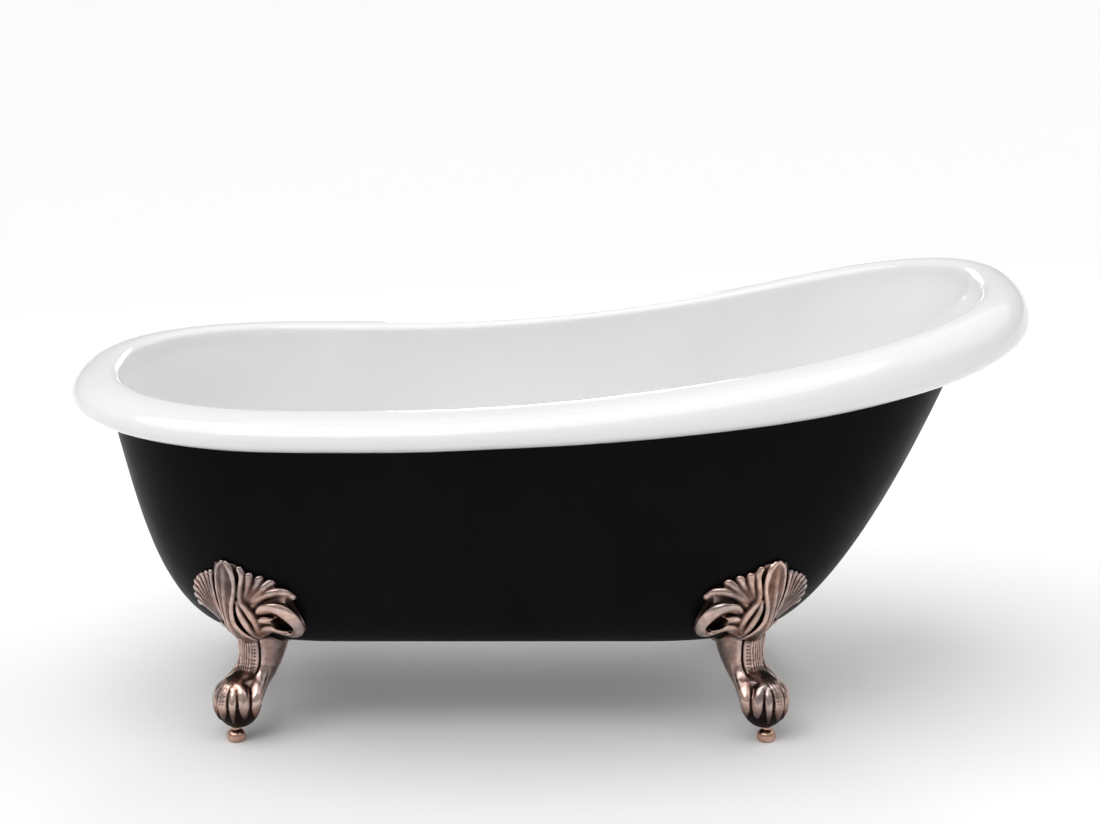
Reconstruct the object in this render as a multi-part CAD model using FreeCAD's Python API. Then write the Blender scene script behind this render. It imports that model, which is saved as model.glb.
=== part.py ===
"""Slipper bathtub on four claw feet, built from the separate pieces of the real thing.

Millimetres, +Z up.  The origin is on the floor, under the middle of the rim's length.  The low (foot) end is
at -X and the high (back-rest) end at +X.  The bath is the same on both sides of the plane y = 0, so "front"
is the side at -Y and "rear" the side at +Y.

Every wall is a skin through rings.  A ring is a closed oval round the bath, drawn as a front half that is
mirrored to the rear.  Its insets say how far it lies inside the rim's outermost oval at the low end, at the
sides and at the high end.
"""
import FreeCAD
import Part

import math
import os

V = FreeCAD.Vector
Z_AXIS = V(0, 0, 1)

# ---------------------------------------------------------------- driving sizes
LENGTH = 1700.0              # over the rolled rim
WIDTH = 750.0                # over the rolled rim
RIM_LOW = 625.0              # floor to rim crest where the rim runs level
RIM_SLOPE = 0.235            # rise per mm of the straight climb to the high end
CLIMB_START = -300.0         # x where the rim leaves the level
CLIMB_FULL = 480.0           # x where the climb has its full slope
LOW_END_LIFT = 12.0          # how much the rim lifts again at the low end
LIFT_START = -400.0          # x where that lift begins
OVAL_POWER = 2.4             # 2 is an ellipse, more is squarer
OVAL_END = 1.2               # length of a round end, as a share of the ring's half width

# rolled rim, measured from its outermost line
CREST_INSET = 66.0           # outermost line to the crest
LIP_WIDTH = 18.0             # crest to the top of the inner wall
LIP_DROP = 16.0
ROLL_DROP_LOW = 36.0         # crest down to the outermost line, at the low end
ROLL_DROP_HIGH = 75.0        # and at the high end, where the roll is a head rest
ROLL_DEPTH_LOW = 66.0        # crest down to the roll's underside
ROLL_DEPTH_HIGH = 118.0
ROLL_GROWTH_START = -100.0   # x where the roll begins to grow
ROLL_GROWTH_POWER = 1.3      # 1 is a steady growth, more starts slower
UNDERSIDE_LOW = 62.0         # outermost line back to the roll's inner edge, by the outer shell
UNDERSIDE_SIDE = 55.0
UNDERSIDE_HIGH = 114.0

# walls: how far they lean in on the way down, then the run and fullness of the corner to the floor
LINER_WALL = 6.0
LINER_RUNS = {"low": (150.0, 90.0, 4.0), "side": (60.0, 80.0, 4.0), "high": (340.0, 150.0, 2.6)}
SHELL_WALL = 5.0
SHELL_RUNS = {"low": (88.0, 100.0, 4.0), "side": (30.0, 90.0, 4.0), "high": (215.0, 105.0, 2.4)}
SHELL_TUCK = 14.0            # how far the shell reaches up into the roll
SEAM_GAP = 1.0               # sealed gap between the roll's edge and the shell
BELLY_HEIGHT = 170.0         # floor to the underside of the outer shell

# support between the two skins
BEARER_HEIGHT = 28.0
BEARER_WIDTH = 45.0
BEARER_LENGTH = 300.0
BEARER_FROM_WASTE = 90.0     # the waste's axis to the middle of the low bearer
BEARER_FROM_BOARD = 108.0    # the board's high end to the middle of the high bearer
BOARD_THICKNESS = 18.0
BOARD_MARGIN = 8.0           # board edge inside the liner's flat floor
BOND_HEIGHT = 20.0           # bead of adhesive that joins shell and liner under the roll
BOND_DROP = 6.0              # below the shell's top edge
BOND_GAP = 0.3

# claw feet
FOOT_FROM_LOW_END = 296.0    # rim's low end to the feet there
FOOT_FROM_HIGH_END = 463.0
FOOT_FROM_SIDE = 125.0
FOOT_TURN = 35.0             # degrees that a foot faces away from straight sideways
FOOT_GAP = 0.5               # between a foot's back and the outer shell
BALL_RADIUS = 39.0
BALL_BOTTOM = 24.0
BALL_SETBACK = 8.0           # ball's centre behind the screw's axis
SPOT_FACE_RADIUS = 12.0
SPOT_FACE_DEPTH = 2.0
TOE_TURNS = (-100.0, -50.0, 0.0, 50.0, 100.0)
# toe: distance from the ball's upright axis, height, radius
TOE = ((10.0, 112.0, 15.0), (26.0, 110.0, 15.0), (39.0, 100.0, 13.0), (44.0, 86.0, 10.5), (42.0, 72.0, 8.0),
       (37.0, 60.0, 5.0))
SHIELD_THICKNESS = 13.0
SHIELD_REACH_OUT = 110.0     # how far the shield can stand in front of the screw's axis
SHIELD_REACH_IN = 120.0
# half outline of the shield: distance from its middle line, height above the floor
SHIELD_OUTLINE = ((0.0, 344.0), (16.0, 336.0), (36.0, 320.0), (62.0, 311.0), (86.0, 304.0), (108.0, 288.0),
                  (124.0, 264.0), (130.0, 236.0), (122.0, 214.0), (92.0, 203.0), (44.0, 192.0), (0.0, 187.0))
# lobes of the leaf on one half of the shield: distance from its middle line, height above the floor, how far
# the lobe's crest stands out from the belly, radius
MIDDLE_LEAF = ((0.0, 336.0, 10.0, 9.0), (0.0, 318.0, 12.0, 13.0), (0.0, 300.0, 15.0, 15.0),
               (0.0, 280.0, 20.0, 15.0), (0.0, 260.0, 25.0, 14.0), (0.0, 240.0, 31.0, 13.0),
               (0.0, 220.0, 36.0, 13.0), (0.0, 202.0, 39.0, 14.0))
LOBES = (((20.0, 300.0, 14.0, 6.0), (20.0, 282.0, 20.0, 7.0), (15.0, 262.0, 24.0, 7.0),
          (13.0, 240.0, 30.0, 7.0), (17.0, 218.0, 36.0, 7.0), (26.0, 202.0, 39.0, 7.0)),
         ((40.0, 312.0, 13.0, 7.0), (40.0, 296.0, 19.0, 8.0), (36.0, 278.0, 24.0, 8.0),
          (40.0, 256.0, 29.0, 8.0), (46.0, 234.0, 33.0, 8.0), (46.0, 212.0, 37.0, 8.0)),
         ((62.0, 306.0, 13.0, 7.0), (58.0, 292.0, 20.0, 7.5), (52.0, 276.0, 23.0, 7.0),
          (48.0, 264.0, 22.0, 6.0)),
         ((84.0, 300.0, 14.0, 8.0), (73.0, 290.0, 21.0, 8.5), (62.0, 276.0, 23.0, 8.0),
          (54.0, 262.0, 22.0, 6.0)),
         ((114.0, 276.0, 14.0, 8.0), (100.0, 284.0, 21.0, 10.0), (84.0, 281.0, 24.0, 10.0),
          (70.0, 271.0, 24.0, 9.0), (58.0, 258.0, 22.0, 6.0)),
         ((60.0, 244.0, 22.0, 8.0), (76.0, 256.0, 28.0, 11.0), (98.0, 262.0, 32.0, 13.0),
          (117.0, 254.0, 32.0, 13.0), (126.0, 237.0, 30.0, 12.0), (122.0, 220.0, 28.0, 11.0),
          (108.0, 208.0, 24.0, 8.0)),
         ((62.0, 226.0, 26.0, 8.0), (76.0, 219.0, 30.0, 9.0), (92.0, 211.0, 28.0, 8.0)))
OUTER_RELIEF = 0.5           # lobes on the half away from the bath's middle, as a share of the inner half's
OUTER_WIDTH = 0.84           # width of that half of the shield, as a share of the inner half's
LOBE_FALL = 0.9              # more makes a lobe's sides steeper
LOBE_BLEND = 5.0             # more makes the valleys between lobes sharper
LEAF_STEP = 5.0              # spacing of the points that carry the carved face
HOLLOW_RADIUS = 12.0         # dark hollow inside the large scroll
HOLLOW_FROM_MIDDLE = 98.0
HOLLOW_HEIGHT = 232.0
HOLLOW_FLOOR = 5.0           # casting left behind the hollow
# leg: height, distance behind the screw's axis, half width, half depth
LEG_SECTIONS = ((236.0, 60.0, 50.0, 46.0), (210.0, 71.0, 46.0, 48.0), (186.0, 80.0, 42.0, 50.0),
                (165.0, 83.0, 40.0, 50.0), (145.0, 79.0, 37.0, 47.0), (125.0, 70.0, 33.0, 40.0),
                (105.0, 53.0, 33.0, 38.0), (86.0, 32.0, 35.0, 38.0), (68.0, 16.0, 31.0, 33.0))
LUG_THICKNESS = 10.0
LUG_HALF_WIDTH = 36.0
LUG_BOLT_REACH = 150.0       # screw's axis to the bolts, inwards
LUG_BOLT_HALF_SPACING = 20.0
LUG_MARGIN = 20.0
LUG_CORNER = 12.0

# levelling screws
SCREW_DISC_RADIUS = 17.0
SCREW_DISC_HEIGHT = 12.0
SCREW_DISC_ROUND = 5.0
SCREW_NECK_RADIUS = 8.0
SCREW_STUD_RADIUS = 6.0
SCREW_TOP = 68.0             # floor to the stud's end
SCREW_PLAY = 0.08
SCREW_BORE_SPARE = 4.0

# foot bolts
BOLT_RADIUS = 5.0
BOLT_HOLE_PLAY = 0.5
BOLT_FLATS = 17.0
BOLT_HEAD_HEIGHT = 6.4
BOLT_NUT_HEIGHT = 8.0
BOLT_SPARE = 3.0
WASHER_RADIUS = 10.5
WASHER_THICKNESS = 2.0
PLATE_THICKNESS = 6.0
PLATE_HALF_WIDTH = 40.0
PLATE_HALF_DEPTH = 18.0

# waste
WASTE_FROM_LOW_END = 460.0
WASTE_THREAD_RADIUS = 23.9   # 1 1/2 inch pipe thread
WASTE_BORE_RADIUS = 20.5
WASTE_FLANGE_RADIUS = 35.0
WASTE_FLANGE_THICKNESS = 3.0
WASTE_HOLE_PLAY = 1.6
WASTE_TAIL = 25.0            # thread left below the backnut for a trap
WASTE_SEAL_THICKNESS = 1.5
FLANGE_SEAL_RADIUS = 34.0
WASTE_PORT_RADIUS = 6.0      # ports that take in the overflow's water
WASTE_PORTS = 6
WASTE_PORT_DROP = 8.0        # hose's level down to the ports
UNDER_SEAL_THICKNESS = 5.0
UNDER_SEAL_RADIUS = 36.0
BANJO_RADIUS = 35.0
BANJO_HEIGHT = 44.0
BANJO_WALL = 4.0
BANJO_PLAY = 0.6
BACKNUT_FLATS = 62.0
BACKNUT_HEIGHT = 10.0
BOARD_HOLE_RADIUS = 45.0
SHELL_HOLE_RADIUS = 50.0
BRIDGE_WIDTH = 5.0
BRIDGE_HEIGHT = 8.0
BRIDGE_DROP = 26.0           # flange's top down to the bridge's top
CARTRIDGE_RADIUS = 8.0
CARTRIDGE_HEIGHT = 22.0
CARTRIDGE_STUB_RADIUS = 4.5
CARTRIDGE_FLOOR = 3.0
STEM_RADIUS = 4.0
STEM_PLAY = 0.08
STEM_END_GAP = 1.0           # stem's end over the cartridge's floor
PLUG_RADIUS = 31.0
PLUG_EDGE = 3.0              # thickness at the plug's edge
PLUG_DOME = 4.0              # rise of its top
PLUG_SEAL_RADIUS = 27.0
PLUG_SEAL_BORE = 19.5
PLUG_SEAL_THICKNESS = 2.5
PLUG_SEAT_GAP = 0.3

# overflow
OVERFLOW_HEIGHT = 515.0
OVERFLOW_HOLE_RADIUS = 21.0
COVER_RADIUS = 34.0
COVER_DEPTH = 10.0
COVER_WALL = 2.0
COVER_SLOTS = 5
COVER_SLOT_WIDTH = 6.0
COVER_SLOT_DEPTH = 4.0
COVER_SLOT_STEP = 18.0       # degrees
COVER_SCREW_RADIUS = 2.5
COVER_SCREW_HEAD = 5.5
COVER_SCREW_HEAD_HEIGHT = 2.5
ELBOW_RADIUS = 26.0
ELBOW_DEPTH = 22.0
ELBOW_WALL = 3.0
ELBOW_BOSS_RADIUS = 6.0
ELBOW_SEAL = 2.0
SPIGOT_RADIUS = 8.5
SPIGOT_BORE = 6.5
SPIGOT_LENGTH = 32.0         # beyond the elbow or the banjo
SPIGOT_SHOULDER = 4.0        # bare length before the hose starts
SPIGOT_BACK = 20.0           # spigot's axis behind the liner's face
HOSE_WALL = 2.5
HOSE_BEND = 85.0
HOSE_LEVEL = 189.0           # height of the hose where it runs under the board
CLIP_WIDTH = 9.0
CLIP_THICKNESS = 1.2
CLIP_FROM_END = 12.0         # hose's end to the clip's middle
CLIP_LUG = 5.0

RING_END_STEPS = 8           # points on a round end
RING_SIDE_STEPS = 8          # points along a side
WALL_STEPS = 14              # rings down a wall
ROLL_STEPS = 6               # rings over each quarter of the roll
LIP_TURNS = (25.0, 50.0, 70.0)   # degrees round the lip at its rings
BISECTIONS = 30              # steps that find a point on a wall
SLOPE_STEP = 10.0            # reach, up and down, over which the wall's lean is taken
OVERRUN = 1.0                # how far a cutter goes past what it cuts
NEAR = 0.001                 # edges closer than this to a place are at it

# ---------------------------------------------------------------- heights and places that follow
ABOVE_BATH = 2 * RIM_LOW
SHELL_FLOOR = BELLY_HEIGHT + SHELL_WALL
BOARD_UNDER = SHELL_FLOOR + BEARER_HEIGHT
LINER_UNDER = BOARD_UNDER + BOARD_THICKNESS
LINER_FLOOR = LINER_UNDER + LINER_WALL
LIP_INSET = CREST_INSET + LIP_WIDTH
BOARD_INSETS = {where: LIP_INSET + run[0] + run[1] + BOARD_MARGIN for where, run in LINER_RUNS.items()}
LUG_UNDER = BELLY_HEIGHT - LUG_THICKNESS
WASHER_UNDER = LUG_UNDER - WASHER_THICKNESS
NUT_UNDER = WASHER_UNDER - BOLT_NUT_HEIGHT
PLATE_TOP = SHELL_FLOOR + PLATE_THICKNESS
SHIELD_OUTLINE_REACH = max(across for across, _ in SHIELD_OUTLINE) + LEAF_STEP
NECK_TOP = BALL_BOTTOM + SPOT_FACE_DEPTH
WASTE_X = -LENGTH / 2 + WASTE_FROM_LOW_END
FLANGE_UNDER = LINER_FLOOR + WASTE_SEAL_THICKNESS
FLANGE_TOP = FLANGE_UNDER + WASTE_FLANGE_THICKNESS
BANJO_TOP = LINER_UNDER - UNDER_SEAL_THICKNESS
BANJO_UNDER = BANJO_TOP - BANJO_HEIGHT
BACKNUT_UNDER = BANJO_UNDER - BACKNUT_HEIGHT
WASTE_END = BACKNUT_UNDER - WASTE_TAIL
BRIDGE_TOP = FLANGE_TOP - BRIDGE_DROP
PLUG_UNDER = FLANGE_TOP + PLUG_SEAT_GAP + PLUG_SEAL_THICKNESS
HOSE_RADIUS = SPIGOT_RADIUS + HOSE_WALL
ELBOW_FRONT = -LINER_WALL - ELBOW_SEAL
ELBOW_BACK = ELBOW_FRONT - ELBOW_DEPTH
BOSS_JOINT = -LINER_WALL / 2     # where the cover's boss meets the elbow's, inside the liner's hole


def save(shape, name):
    """Writes one node."""
    solids = shape.Solids
    assert solids, name
    Part.Compound(solids).exportStep(os.path.join("parts", name + ".step"))
    volume = sum(s.Volume for s in solids)
    print(f"{name:30s} solids {len(solids)}  valid {shape.isValid()}  volume {volume:12.0f}")


# ---------------------------------------------------------------- rings and skins
def rim_height(x):
    """Height of the rim's crest: level, then an arc, then a straight climb."""
    arc = min(max(x, CLIMB_START), CLIMB_FULL) - CLIMB_START
    climb = RIM_SLOPE * arc * arc / (2 * (CLIMB_FULL - CLIMB_START)) + RIM_SLOPE * max(0.0, x - CLIMB_FULL)
    share = max(0.0, LIFT_START - x) / (LIFT_START + LENGTH / 2)
    return RIM_LOW + climb + LOW_END_LIFT * share * share


def roll_growth(x):
    """0 where the roll has its low-end size, 1 at the high end."""
    share = (x - ROLL_GROWTH_START) / (LENGTH / 2 - ROLL_GROWTH_START)
    return min(max(share, 0.0), 1.0) ** ROLL_GROWTH_POWER


def roll_drop(x):
    return ROLL_DROP_LOW + (ROLL_DROP_HIGH - ROLL_DROP_LOW) * roll_growth(x)


def roll_depth(x):
    return ROLL_DEPTH_LOW + (ROLL_DEPTH_HIGH - ROLL_DEPTH_LOW) * roll_growth(x)


def ring(insets, height):
    """Points of a ring's front half, from the high end to the low end.  height is a function of x."""
    low, side, high = insets
    half = WIDTH / 2 - side
    end = OVAL_END * half
    x_high = LENGTH / 2 - high - end
    x_low = -LENGTH / 2 + low + end
    power = 2 / OVAL_POWER
    flat = []
    for i in range(RING_END_STEPS + 1):
        a = math.pi / 2 * i / RING_END_STEPS
        flat.append((x_high + end * math.cos(a) ** power, half * math.sin(a) ** power))
    for i in range(1, RING_SIDE_STEPS):
        flat.append((x_high + (x_low - x_high) * i / RING_SIDE_STEPS, half))
    for i in range(RING_END_STEPS, -1, -1):
        a = math.pi / 2 * i / RING_END_STEPS
        flat.append((x_low - end * math.cos(a) ** power, half * math.sin(a) ** power))
    flat[0] = (flat[0][0], 0.0)
    flat[-1] = (flat[-1][0], 0.0)
    return [V(x, -y, height(x)) for x, y in flat]


def shares(points):
    """Running length along points, from 0 to 1."""
    total = [0.0]
    for a, b in zip(points, points[1:]):
        total.append(total[-1] + (b - a).Length)
    return [t / total[-1] for t in total]


RIM_RING = ring((0, 0, 0), rim_height)
RING_SHARES = shares(RIM_RING)


def ring_curve(points):
    """Smooth curve through a half ring that crosses the plane y = 0 squarely."""
    first = (points[1] - points[0]).Length / (RING_SHARES[1] - RING_SHARES[0])
    last = (points[-1] - points[-2]).Length / (RING_SHARES[-1] - RING_SHARES[-2])
    curve = Part.BSplineCurve()
    curve.interpolate(Points=points, Parameters=RING_SHARES, Scale=False,
                      InitialTangent=V(0, -first, 0), FinalTangent=V(0, last, 0))
    return curve


def skin(rings):
    """One smooth face through half rings."""
    curves = [ring_curve(r) for r in rings]
    rows = [c.getPoles() for c in curves]
    gaps = [0.0]
    for a, b in zip(rings, rings[1:]):
        gaps.append(gaps[-1] + sum((q - p).Length for p, q in zip(a, b)) / len(a))
    steps = [g / gaps[-1] for g in gaps]
    columns = []
    for j in range(len(rows[0])):
        column = Part.BSplineCurve()
        column.interpolate(Points=[row[j] for row in rows], Parameters=steps)
        columns.append(column)
    surface = Part.BSplineSurface()
    surface.buildFromPolesMultsKnots(
        [c.getPoles() for c in columns], curves[0].getMultiplicities(), columns[0].getMultiplicities(),
        curves[0].getKnots(), columns[0].getKnots(), False, False, curves[0].Degree, columns[0].Degree)
    return surface.toShape()


def cap(points):
    """Flat face inside a whole level ring."""
    front = ring_curve(points).toShape()
    rear = front.mirror(V(0, 0, 0), V(0, 1, 0))
    return Part.Face(Part.Wire([front, rear]))


def largest(shape):
    """The biggest solid of a shape, without slivers left by a cut."""
    return max(shape.Solids, key=lambda s: s.Volume)


def closed_solid(skins, caps=()):
    """Solid between skins, which are given as front halves, and whole caps."""
    faces = list(caps)
    for face in skins:
        faces.append(face)
        faces.append(face.mirror(V(0, 0, 0), V(0, 1, 0)))
    shell = Part.Shell(faces)
    shell.sewShape()
    solid = Part.Solid(shell)
    if solid.Volume < 0:
        solid.reverse()
    return solid


def wall_ring(top, runs, top_height, floor, t):
    """Ring at the share t of a wall's way down, from its top insets to the flat floor."""
    insets = [wall_inset(inset, runs[where], t) for inset, where in zip(top, ("low", "side", "high"))]
    return ring(insets, lambda x: floor + (1 - t) * (top_height(x) - floor))


def down_a_wall(ring_at):
    """Rings all the way down a wall, closer together towards its foot."""
    return [ring_at(math.sin(math.pi / 2 * i / WALL_STEPS)) for i in range(WALL_STEPS + 1)]


def wall_inset(top, run, t):
    """Inset of a wall at the share t of its way down."""
    straight, corner, fullness = run
    return top + straight * t + corner * (1 - math.sqrt(max(0.0, 1 - t ** fullness)))


# ---------------------------------------------------------------- liner
def roll_rings(wall):
    """Rings over the roll, from the crest round to its edge, at a depth of wall inside its face."""
    rings = []
    for i in range(ROLL_STEPS + 1):
        a = math.pi / 2 * i / ROLL_STEPS
        inset = CREST_INSET - (CREST_INSET - wall) * math.sin(a)
        rings.append(ring((inset,) * 3, lambda x, a=a: rim_height(x) - roll_drop(x)
                          + (roll_drop(x) - wall) * math.cos(a)))
    for i in range(1, ROLL_STEPS + 1):
        a = math.pi / 2 * i / ROLL_STEPS
        insets = [wall + (u - wall) * (1 - math.cos(a))
                  for u in (UNDERSIDE_LOW, UNDERSIDE_SIDE, UNDERSIDE_HIGH)]
        rings.append(ring(insets, lambda x, a=a: rim_height(x) - roll_drop(x)
                          - (roll_depth(x) - wall - roll_drop(x)) * math.sin(a)))
    return rings


def lip_rings(wall):
    """Rings up the small round between the inner wall and the crest."""
    rings = []
    for degrees in LIP_TURNS:
        a = math.radians(degrees)
        inset = CREST_INSET + (LIP_WIDTH - wall) * math.cos(a)
        rise = (LIP_DROP - wall) * math.sin(a)
        rings.append(ring((inset,) * 3, lambda x, rise=rise: rim_height(x) - LIP_DROP + rise))
    return rings


def liner_ring(wall, t):
    """Ring at the share t of the way down the liner's wall, on its face (wall 0) or at a depth behind it."""
    return wall_ring((LIP_INSET - wall,) * 3, LINER_RUNS, lambda x: rim_height(x) - LIP_DROP,
                     LINER_FLOOR - wall, t)


def liner_side(wall):
    """Rings of one side of the liner, from its floor up the wall and over the roll."""
    return down_a_wall(lambda t: liner_ring(wall, t))[::-1] + lip_rings(wall) + roll_rings(wall)


def liner():
    face = liner_side(0.0)
    back = liner_side(LINER_WALL)
    body = closed_solid([skin(face), skin([face[-1], back[-1]]), skin(back)], [cap(face[0]), cap(back[0])])
    body = body.cut(drilled_at_waste(WASTE_THREAD_RADIUS + WASTE_HOLE_PLAY, LINER_UNDER, LINER_FLOOR))
    return body.cut(overflow_place(turned(OVERFLOW_HOLE_RADIUS, -2 * LINER_WALL, LINER_WALL)))


# ---------------------------------------------------------------- outer shell
def shell_top(x):
    return rim_height(x) - roll_depth(x) + SHELL_TUCK


def shell_ring(offset, t):
    """Ring at the share t of the way down the outer shell, at an offset outside its face."""
    top = [u + SEAM_GAP - offset for u in (UNDERSIDE_LOW, UNDERSIDE_SIDE, UNDERSIDE_HIGH)]
    return wall_ring(top, SHELL_RUNS, shell_top, BELLY_HEIGHT - offset, t)


def shell_side(offset):
    """Rings all the way down the outer shell, at an offset outside its face."""
    return down_a_wall(lambda t: shell_ring(offset, t))


def outer_shell():
    face = shell_side(0.0)
    back = shell_side(-SHELL_WALL)
    body = closed_solid([skin(face), skin([face[0], back[0]]), skin(back)], [cap(face[-1]), cap(back[-1])])
    body = body.cut(drilled_at_waste(SHELL_HOLE_RADIUS, BELLY_HEIGHT, SHELL_FLOOR))
    for foot in FEET:
        body = body.cut(bolt_holes(foot, BELLY_HEIGHT, SHELL_FLOOR))
    return body


def belly(offset):
    """Everything inside the outer shell's face, grown by an offset, up to the top of the feet."""
    rings = shell_side(offset)
    lid = lifted(rings[0])
    body = closed_solid([skin(rings), skin([rings[0], lid])], [cap(rings[-1]), cap(lid)])
    return body.common(Part.makeBox(2 * LENGTH, 2 * WIDTH, SHIELD_OUTLINE[0][1] + SHIELD_THICKNESS,
                                    V(-LENGTH, -WIDTH, 0)))


def lifted(points):
    """A ring's points raised to one level above the bath."""
    return [V(p.x, p.y, ABOVE_BATH) for p in points]


def seam_bond():
    """Bead of adhesive between the shell's top and the back of the liner."""
    outer = []
    inner = []
    for drop in (BOND_DROP, BOND_DROP + BOND_HEIGHT / 2, BOND_DROP + BOND_HEIGHT):
        def bead_height(x, drop=drop):
            return shell_top(x) - drop
        outer.append(ring_on_wall(lambda t: shell_ring(-SHELL_WALL - BOND_GAP, t), bead_height))
        inner.append(ring_on_wall(lambda t: liner_ring(LINER_WALL + BOND_GAP, t), bead_height))
    return closed_solid([skin(outer), skin(inner), skin([outer[0], inner[0]]), skin([outer[-1], inner[-1]])])


def ring_on_wall(ring_at, height):
    """Ring where a wall, given as rings over the share t of its way down, meets a height."""
    points = []
    for i in range(len(RIM_RING)):
        above, below = 0.0, 1.0
        for _ in range(BISECTIONS):
            t = (above + below) / 2
            point = ring_at(t)[i]
            if point.z > height(point.x):
                above = t
            else:
                below = t
        points.append(ring_at(above)[i])
    return points


# ---------------------------------------------------------------- support between the skins
def base_board():
    top = ring(tuple(BOARD_INSETS.values()), lambda x: LINER_UNDER)
    board = cap(top).extrude(V(0, 0, -BOARD_THICKNESS))
    return board.cut(drilled_at_waste(BOARD_HOLE_RADIUS, BOARD_UNDER, LINER_UNDER))


def bearer_places():
    """Middles of the three bearers: one clear of the waste, one near the board's high end, one between."""
    low = WASTE_X + BEARER_FROM_WASTE
    high = LENGTH / 2 - BOARD_INSETS["high"] - BEARER_FROM_BOARD
    return {"low": low, "middle": (low + high) / 2, "high": high}


def bearer(x):
    corner = V(x - BEARER_WIDTH / 2, -BEARER_LENGTH / 2, SHELL_FLOOR)
    return Part.makeBox(BEARER_WIDTH, BEARER_LENGTH, BEARER_HEIGHT, corner)


# ---------------------------------------------------------------- claw feet
class Foot:
    """A foot's place.  Its own frame has the floor point under the screw as origin, +X along the width of
    its shield and +Y inwards, under the bath.  inner tells which side of it faces the bath's middle."""

    def __init__(self, name, x, turn):
        self.name = name
        self.inner = -1 if turn > 0 else 1
        self.place = FreeCAD.Placement(V(x, -WIDTH / 2 + FOOT_FROM_SIDE, 0), FreeCAD.Rotation(Z_AXIS, turn))

    def put(self, shape):
        """A copy of shape, moved from the foot's own frame to the bath's."""
        moved = shape.copy()
        moved.Placement = self.place.multiply(moved.Placement)
        return moved


FEET = (Foot("low", -LENGTH / 2 + FOOT_FROM_LOW_END, -FOOT_TURN),
        Foot("high", LENGTH / 2 - FOOT_FROM_HIGH_END, FOOT_TURN))


def rear(shape):
    """The same thing on the other side of the bath."""
    return shape.mirror(V(0, 0, 0), V(0, 1, 0))


def shield_prism(foot):
    """The shield's outline, drawn out through the wall of the belly."""
    half = SHIELD_OUTLINE
    points = [V(foot.inner * u, 0, z) for u, z in half]
    points += [V(-foot.inner * OUTER_WIDTH * u, 0, z) for u, z in half[-2:0:-1]]
    curve = Part.BSplineCurve()
    curve.interpolate(Points=points, PeriodicFlag=True)
    face = Part.Face(Part.Wire(curve.toShape()))
    face.translate(V(0, -SHIELD_REACH_OUT, 0))
    return face.extrude(V(0, SHIELD_REACH_OUT + SHIELD_REACH_IN, 0))


def ellipse(centre, width, depth):
    """Level ellipse with the given half axes."""
    if width >= depth:
        return Part.Wire(Part.Ellipse(centre, width, depth).toShape())
    curve = Part.Ellipse(centre + V(0, depth, 0), centre + V(width, 0, 0), centre)
    return Part.Wire(curve.toShape())


def leg():
    sections = [ellipse(V(0, y, z), width, depth) for z, y, width, depth in LEG_SECTIONS]
    return Part.makeLoft(sections, True)


def horn(points, radii):
    """Round string of changing thickness through points."""
    wires = []
    for i, (point, radius) in enumerate(zip(points, radii)):
        along = points[min(i + 1, len(points) - 1)] - points[max(i - 1, 0)]
        wires.append(Part.Wire(Part.Circle(point, along, radius).toShape()))
    return Part.makeLoft(wires, True)


def toes():
    """Toes that come out from under the leg and grip the ball, each with a round tip."""
    shapes = []
    for degrees in TOE_TURNS:
        spin = math.radians(degrees)
        out = V(math.sin(spin), -math.cos(spin), 0)
        points = [V(0, BALL_SETBACK, height) + out * reach for reach, height, _ in TOE]
        shapes.append(horn(points, [radius for _, _, radius in TOE]))
        shapes.append(Part.makeSphere(TOE[-1][2], points[-1]))
    return shapes


def inside_belly(point):
    """Whether a point of the bath's frame is inside the outer shell's face."""
    top = shell_top(point.x)
    t = min(max((top - point.z) / (top - BELLY_HEIGHT), 0.0), 1.0)
    low, side, high = (wall_inset(inset + SEAM_GAP, SHELL_RUNS[where], t) for inset, where in
                       ((UNDERSIDE_LOW, "low"), (UNDERSIDE_SIDE, "side"), (UNDERSIDE_HIGH, "high")))
    half = WIDTH / 2 - side
    end = OVAL_END * half
    over = max(point.x - (LENGTH / 2 - high - end), -LENGTH / 2 + low + end - point.x, 0.0) / end
    return over ** OVAL_POWER + (abs(point.y) / half) ** OVAL_POWER < 1.0


def in_front_of_belly(foot, across, height, stand_off):
    """Point of the foot's frame that far in front of the belly's face."""
    near, far = -SHIELD_REACH_OUT, SHIELD_REACH_IN
    for _ in range(BISECTIONS):
        middle = (near + far) / 2
        if inside_belly(foot.place.multVec(V(across, middle, height))):
            far = middle
        else:
            near = middle
    return V(across, near - stand_off, height)


def lobe_height(rows, across, height):
    """How far one lobe makes the leaf stand out at a place, falling off like a bell beside its crest."""
    best = 0.0
    for (u0, z0, crest0, radius0), (u1, z1, crest1, radius1) in zip(rows, rows[1:]):
        run = (u1 - u0) ** 2 + (z1 - z0) ** 2
        share = ((across - u0) * (u1 - u0) + (height - z0) * (z1 - z0)) / run
        share = min(max(share, 0.0), 1.0)
        gap = math.hypot(across - u0 - share * (u1 - u0), height - z0 - share * (z1 - z0))
        crest = crest0 + share * (crest1 - crest0)
        radius = radius0 + share * (radius1 - radius0)
        best = max(best, crest * math.exp(-LOBE_FALL * (gap / radius) ** 2))
    return best


def leaf_height(foot, across, height):
    """How far the leaf's face stands out from the belly: its lobes over an even ground, blended."""
    relief = 1.0
    if across * foot.inner < 0:
        across /= OUTER_WIDTH
        relief = OUTER_RELIEF
    heights = [SHIELD_THICKNESS, lobe_height(MIDDLE_LEAF, abs(across), height)]
    heights += [relief * lobe_height(rows, abs(across), height) for rows in LOBES]
    return sum(h ** LOBE_BLEND for h in heights) ** (1 / LOBE_BLEND)


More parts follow.
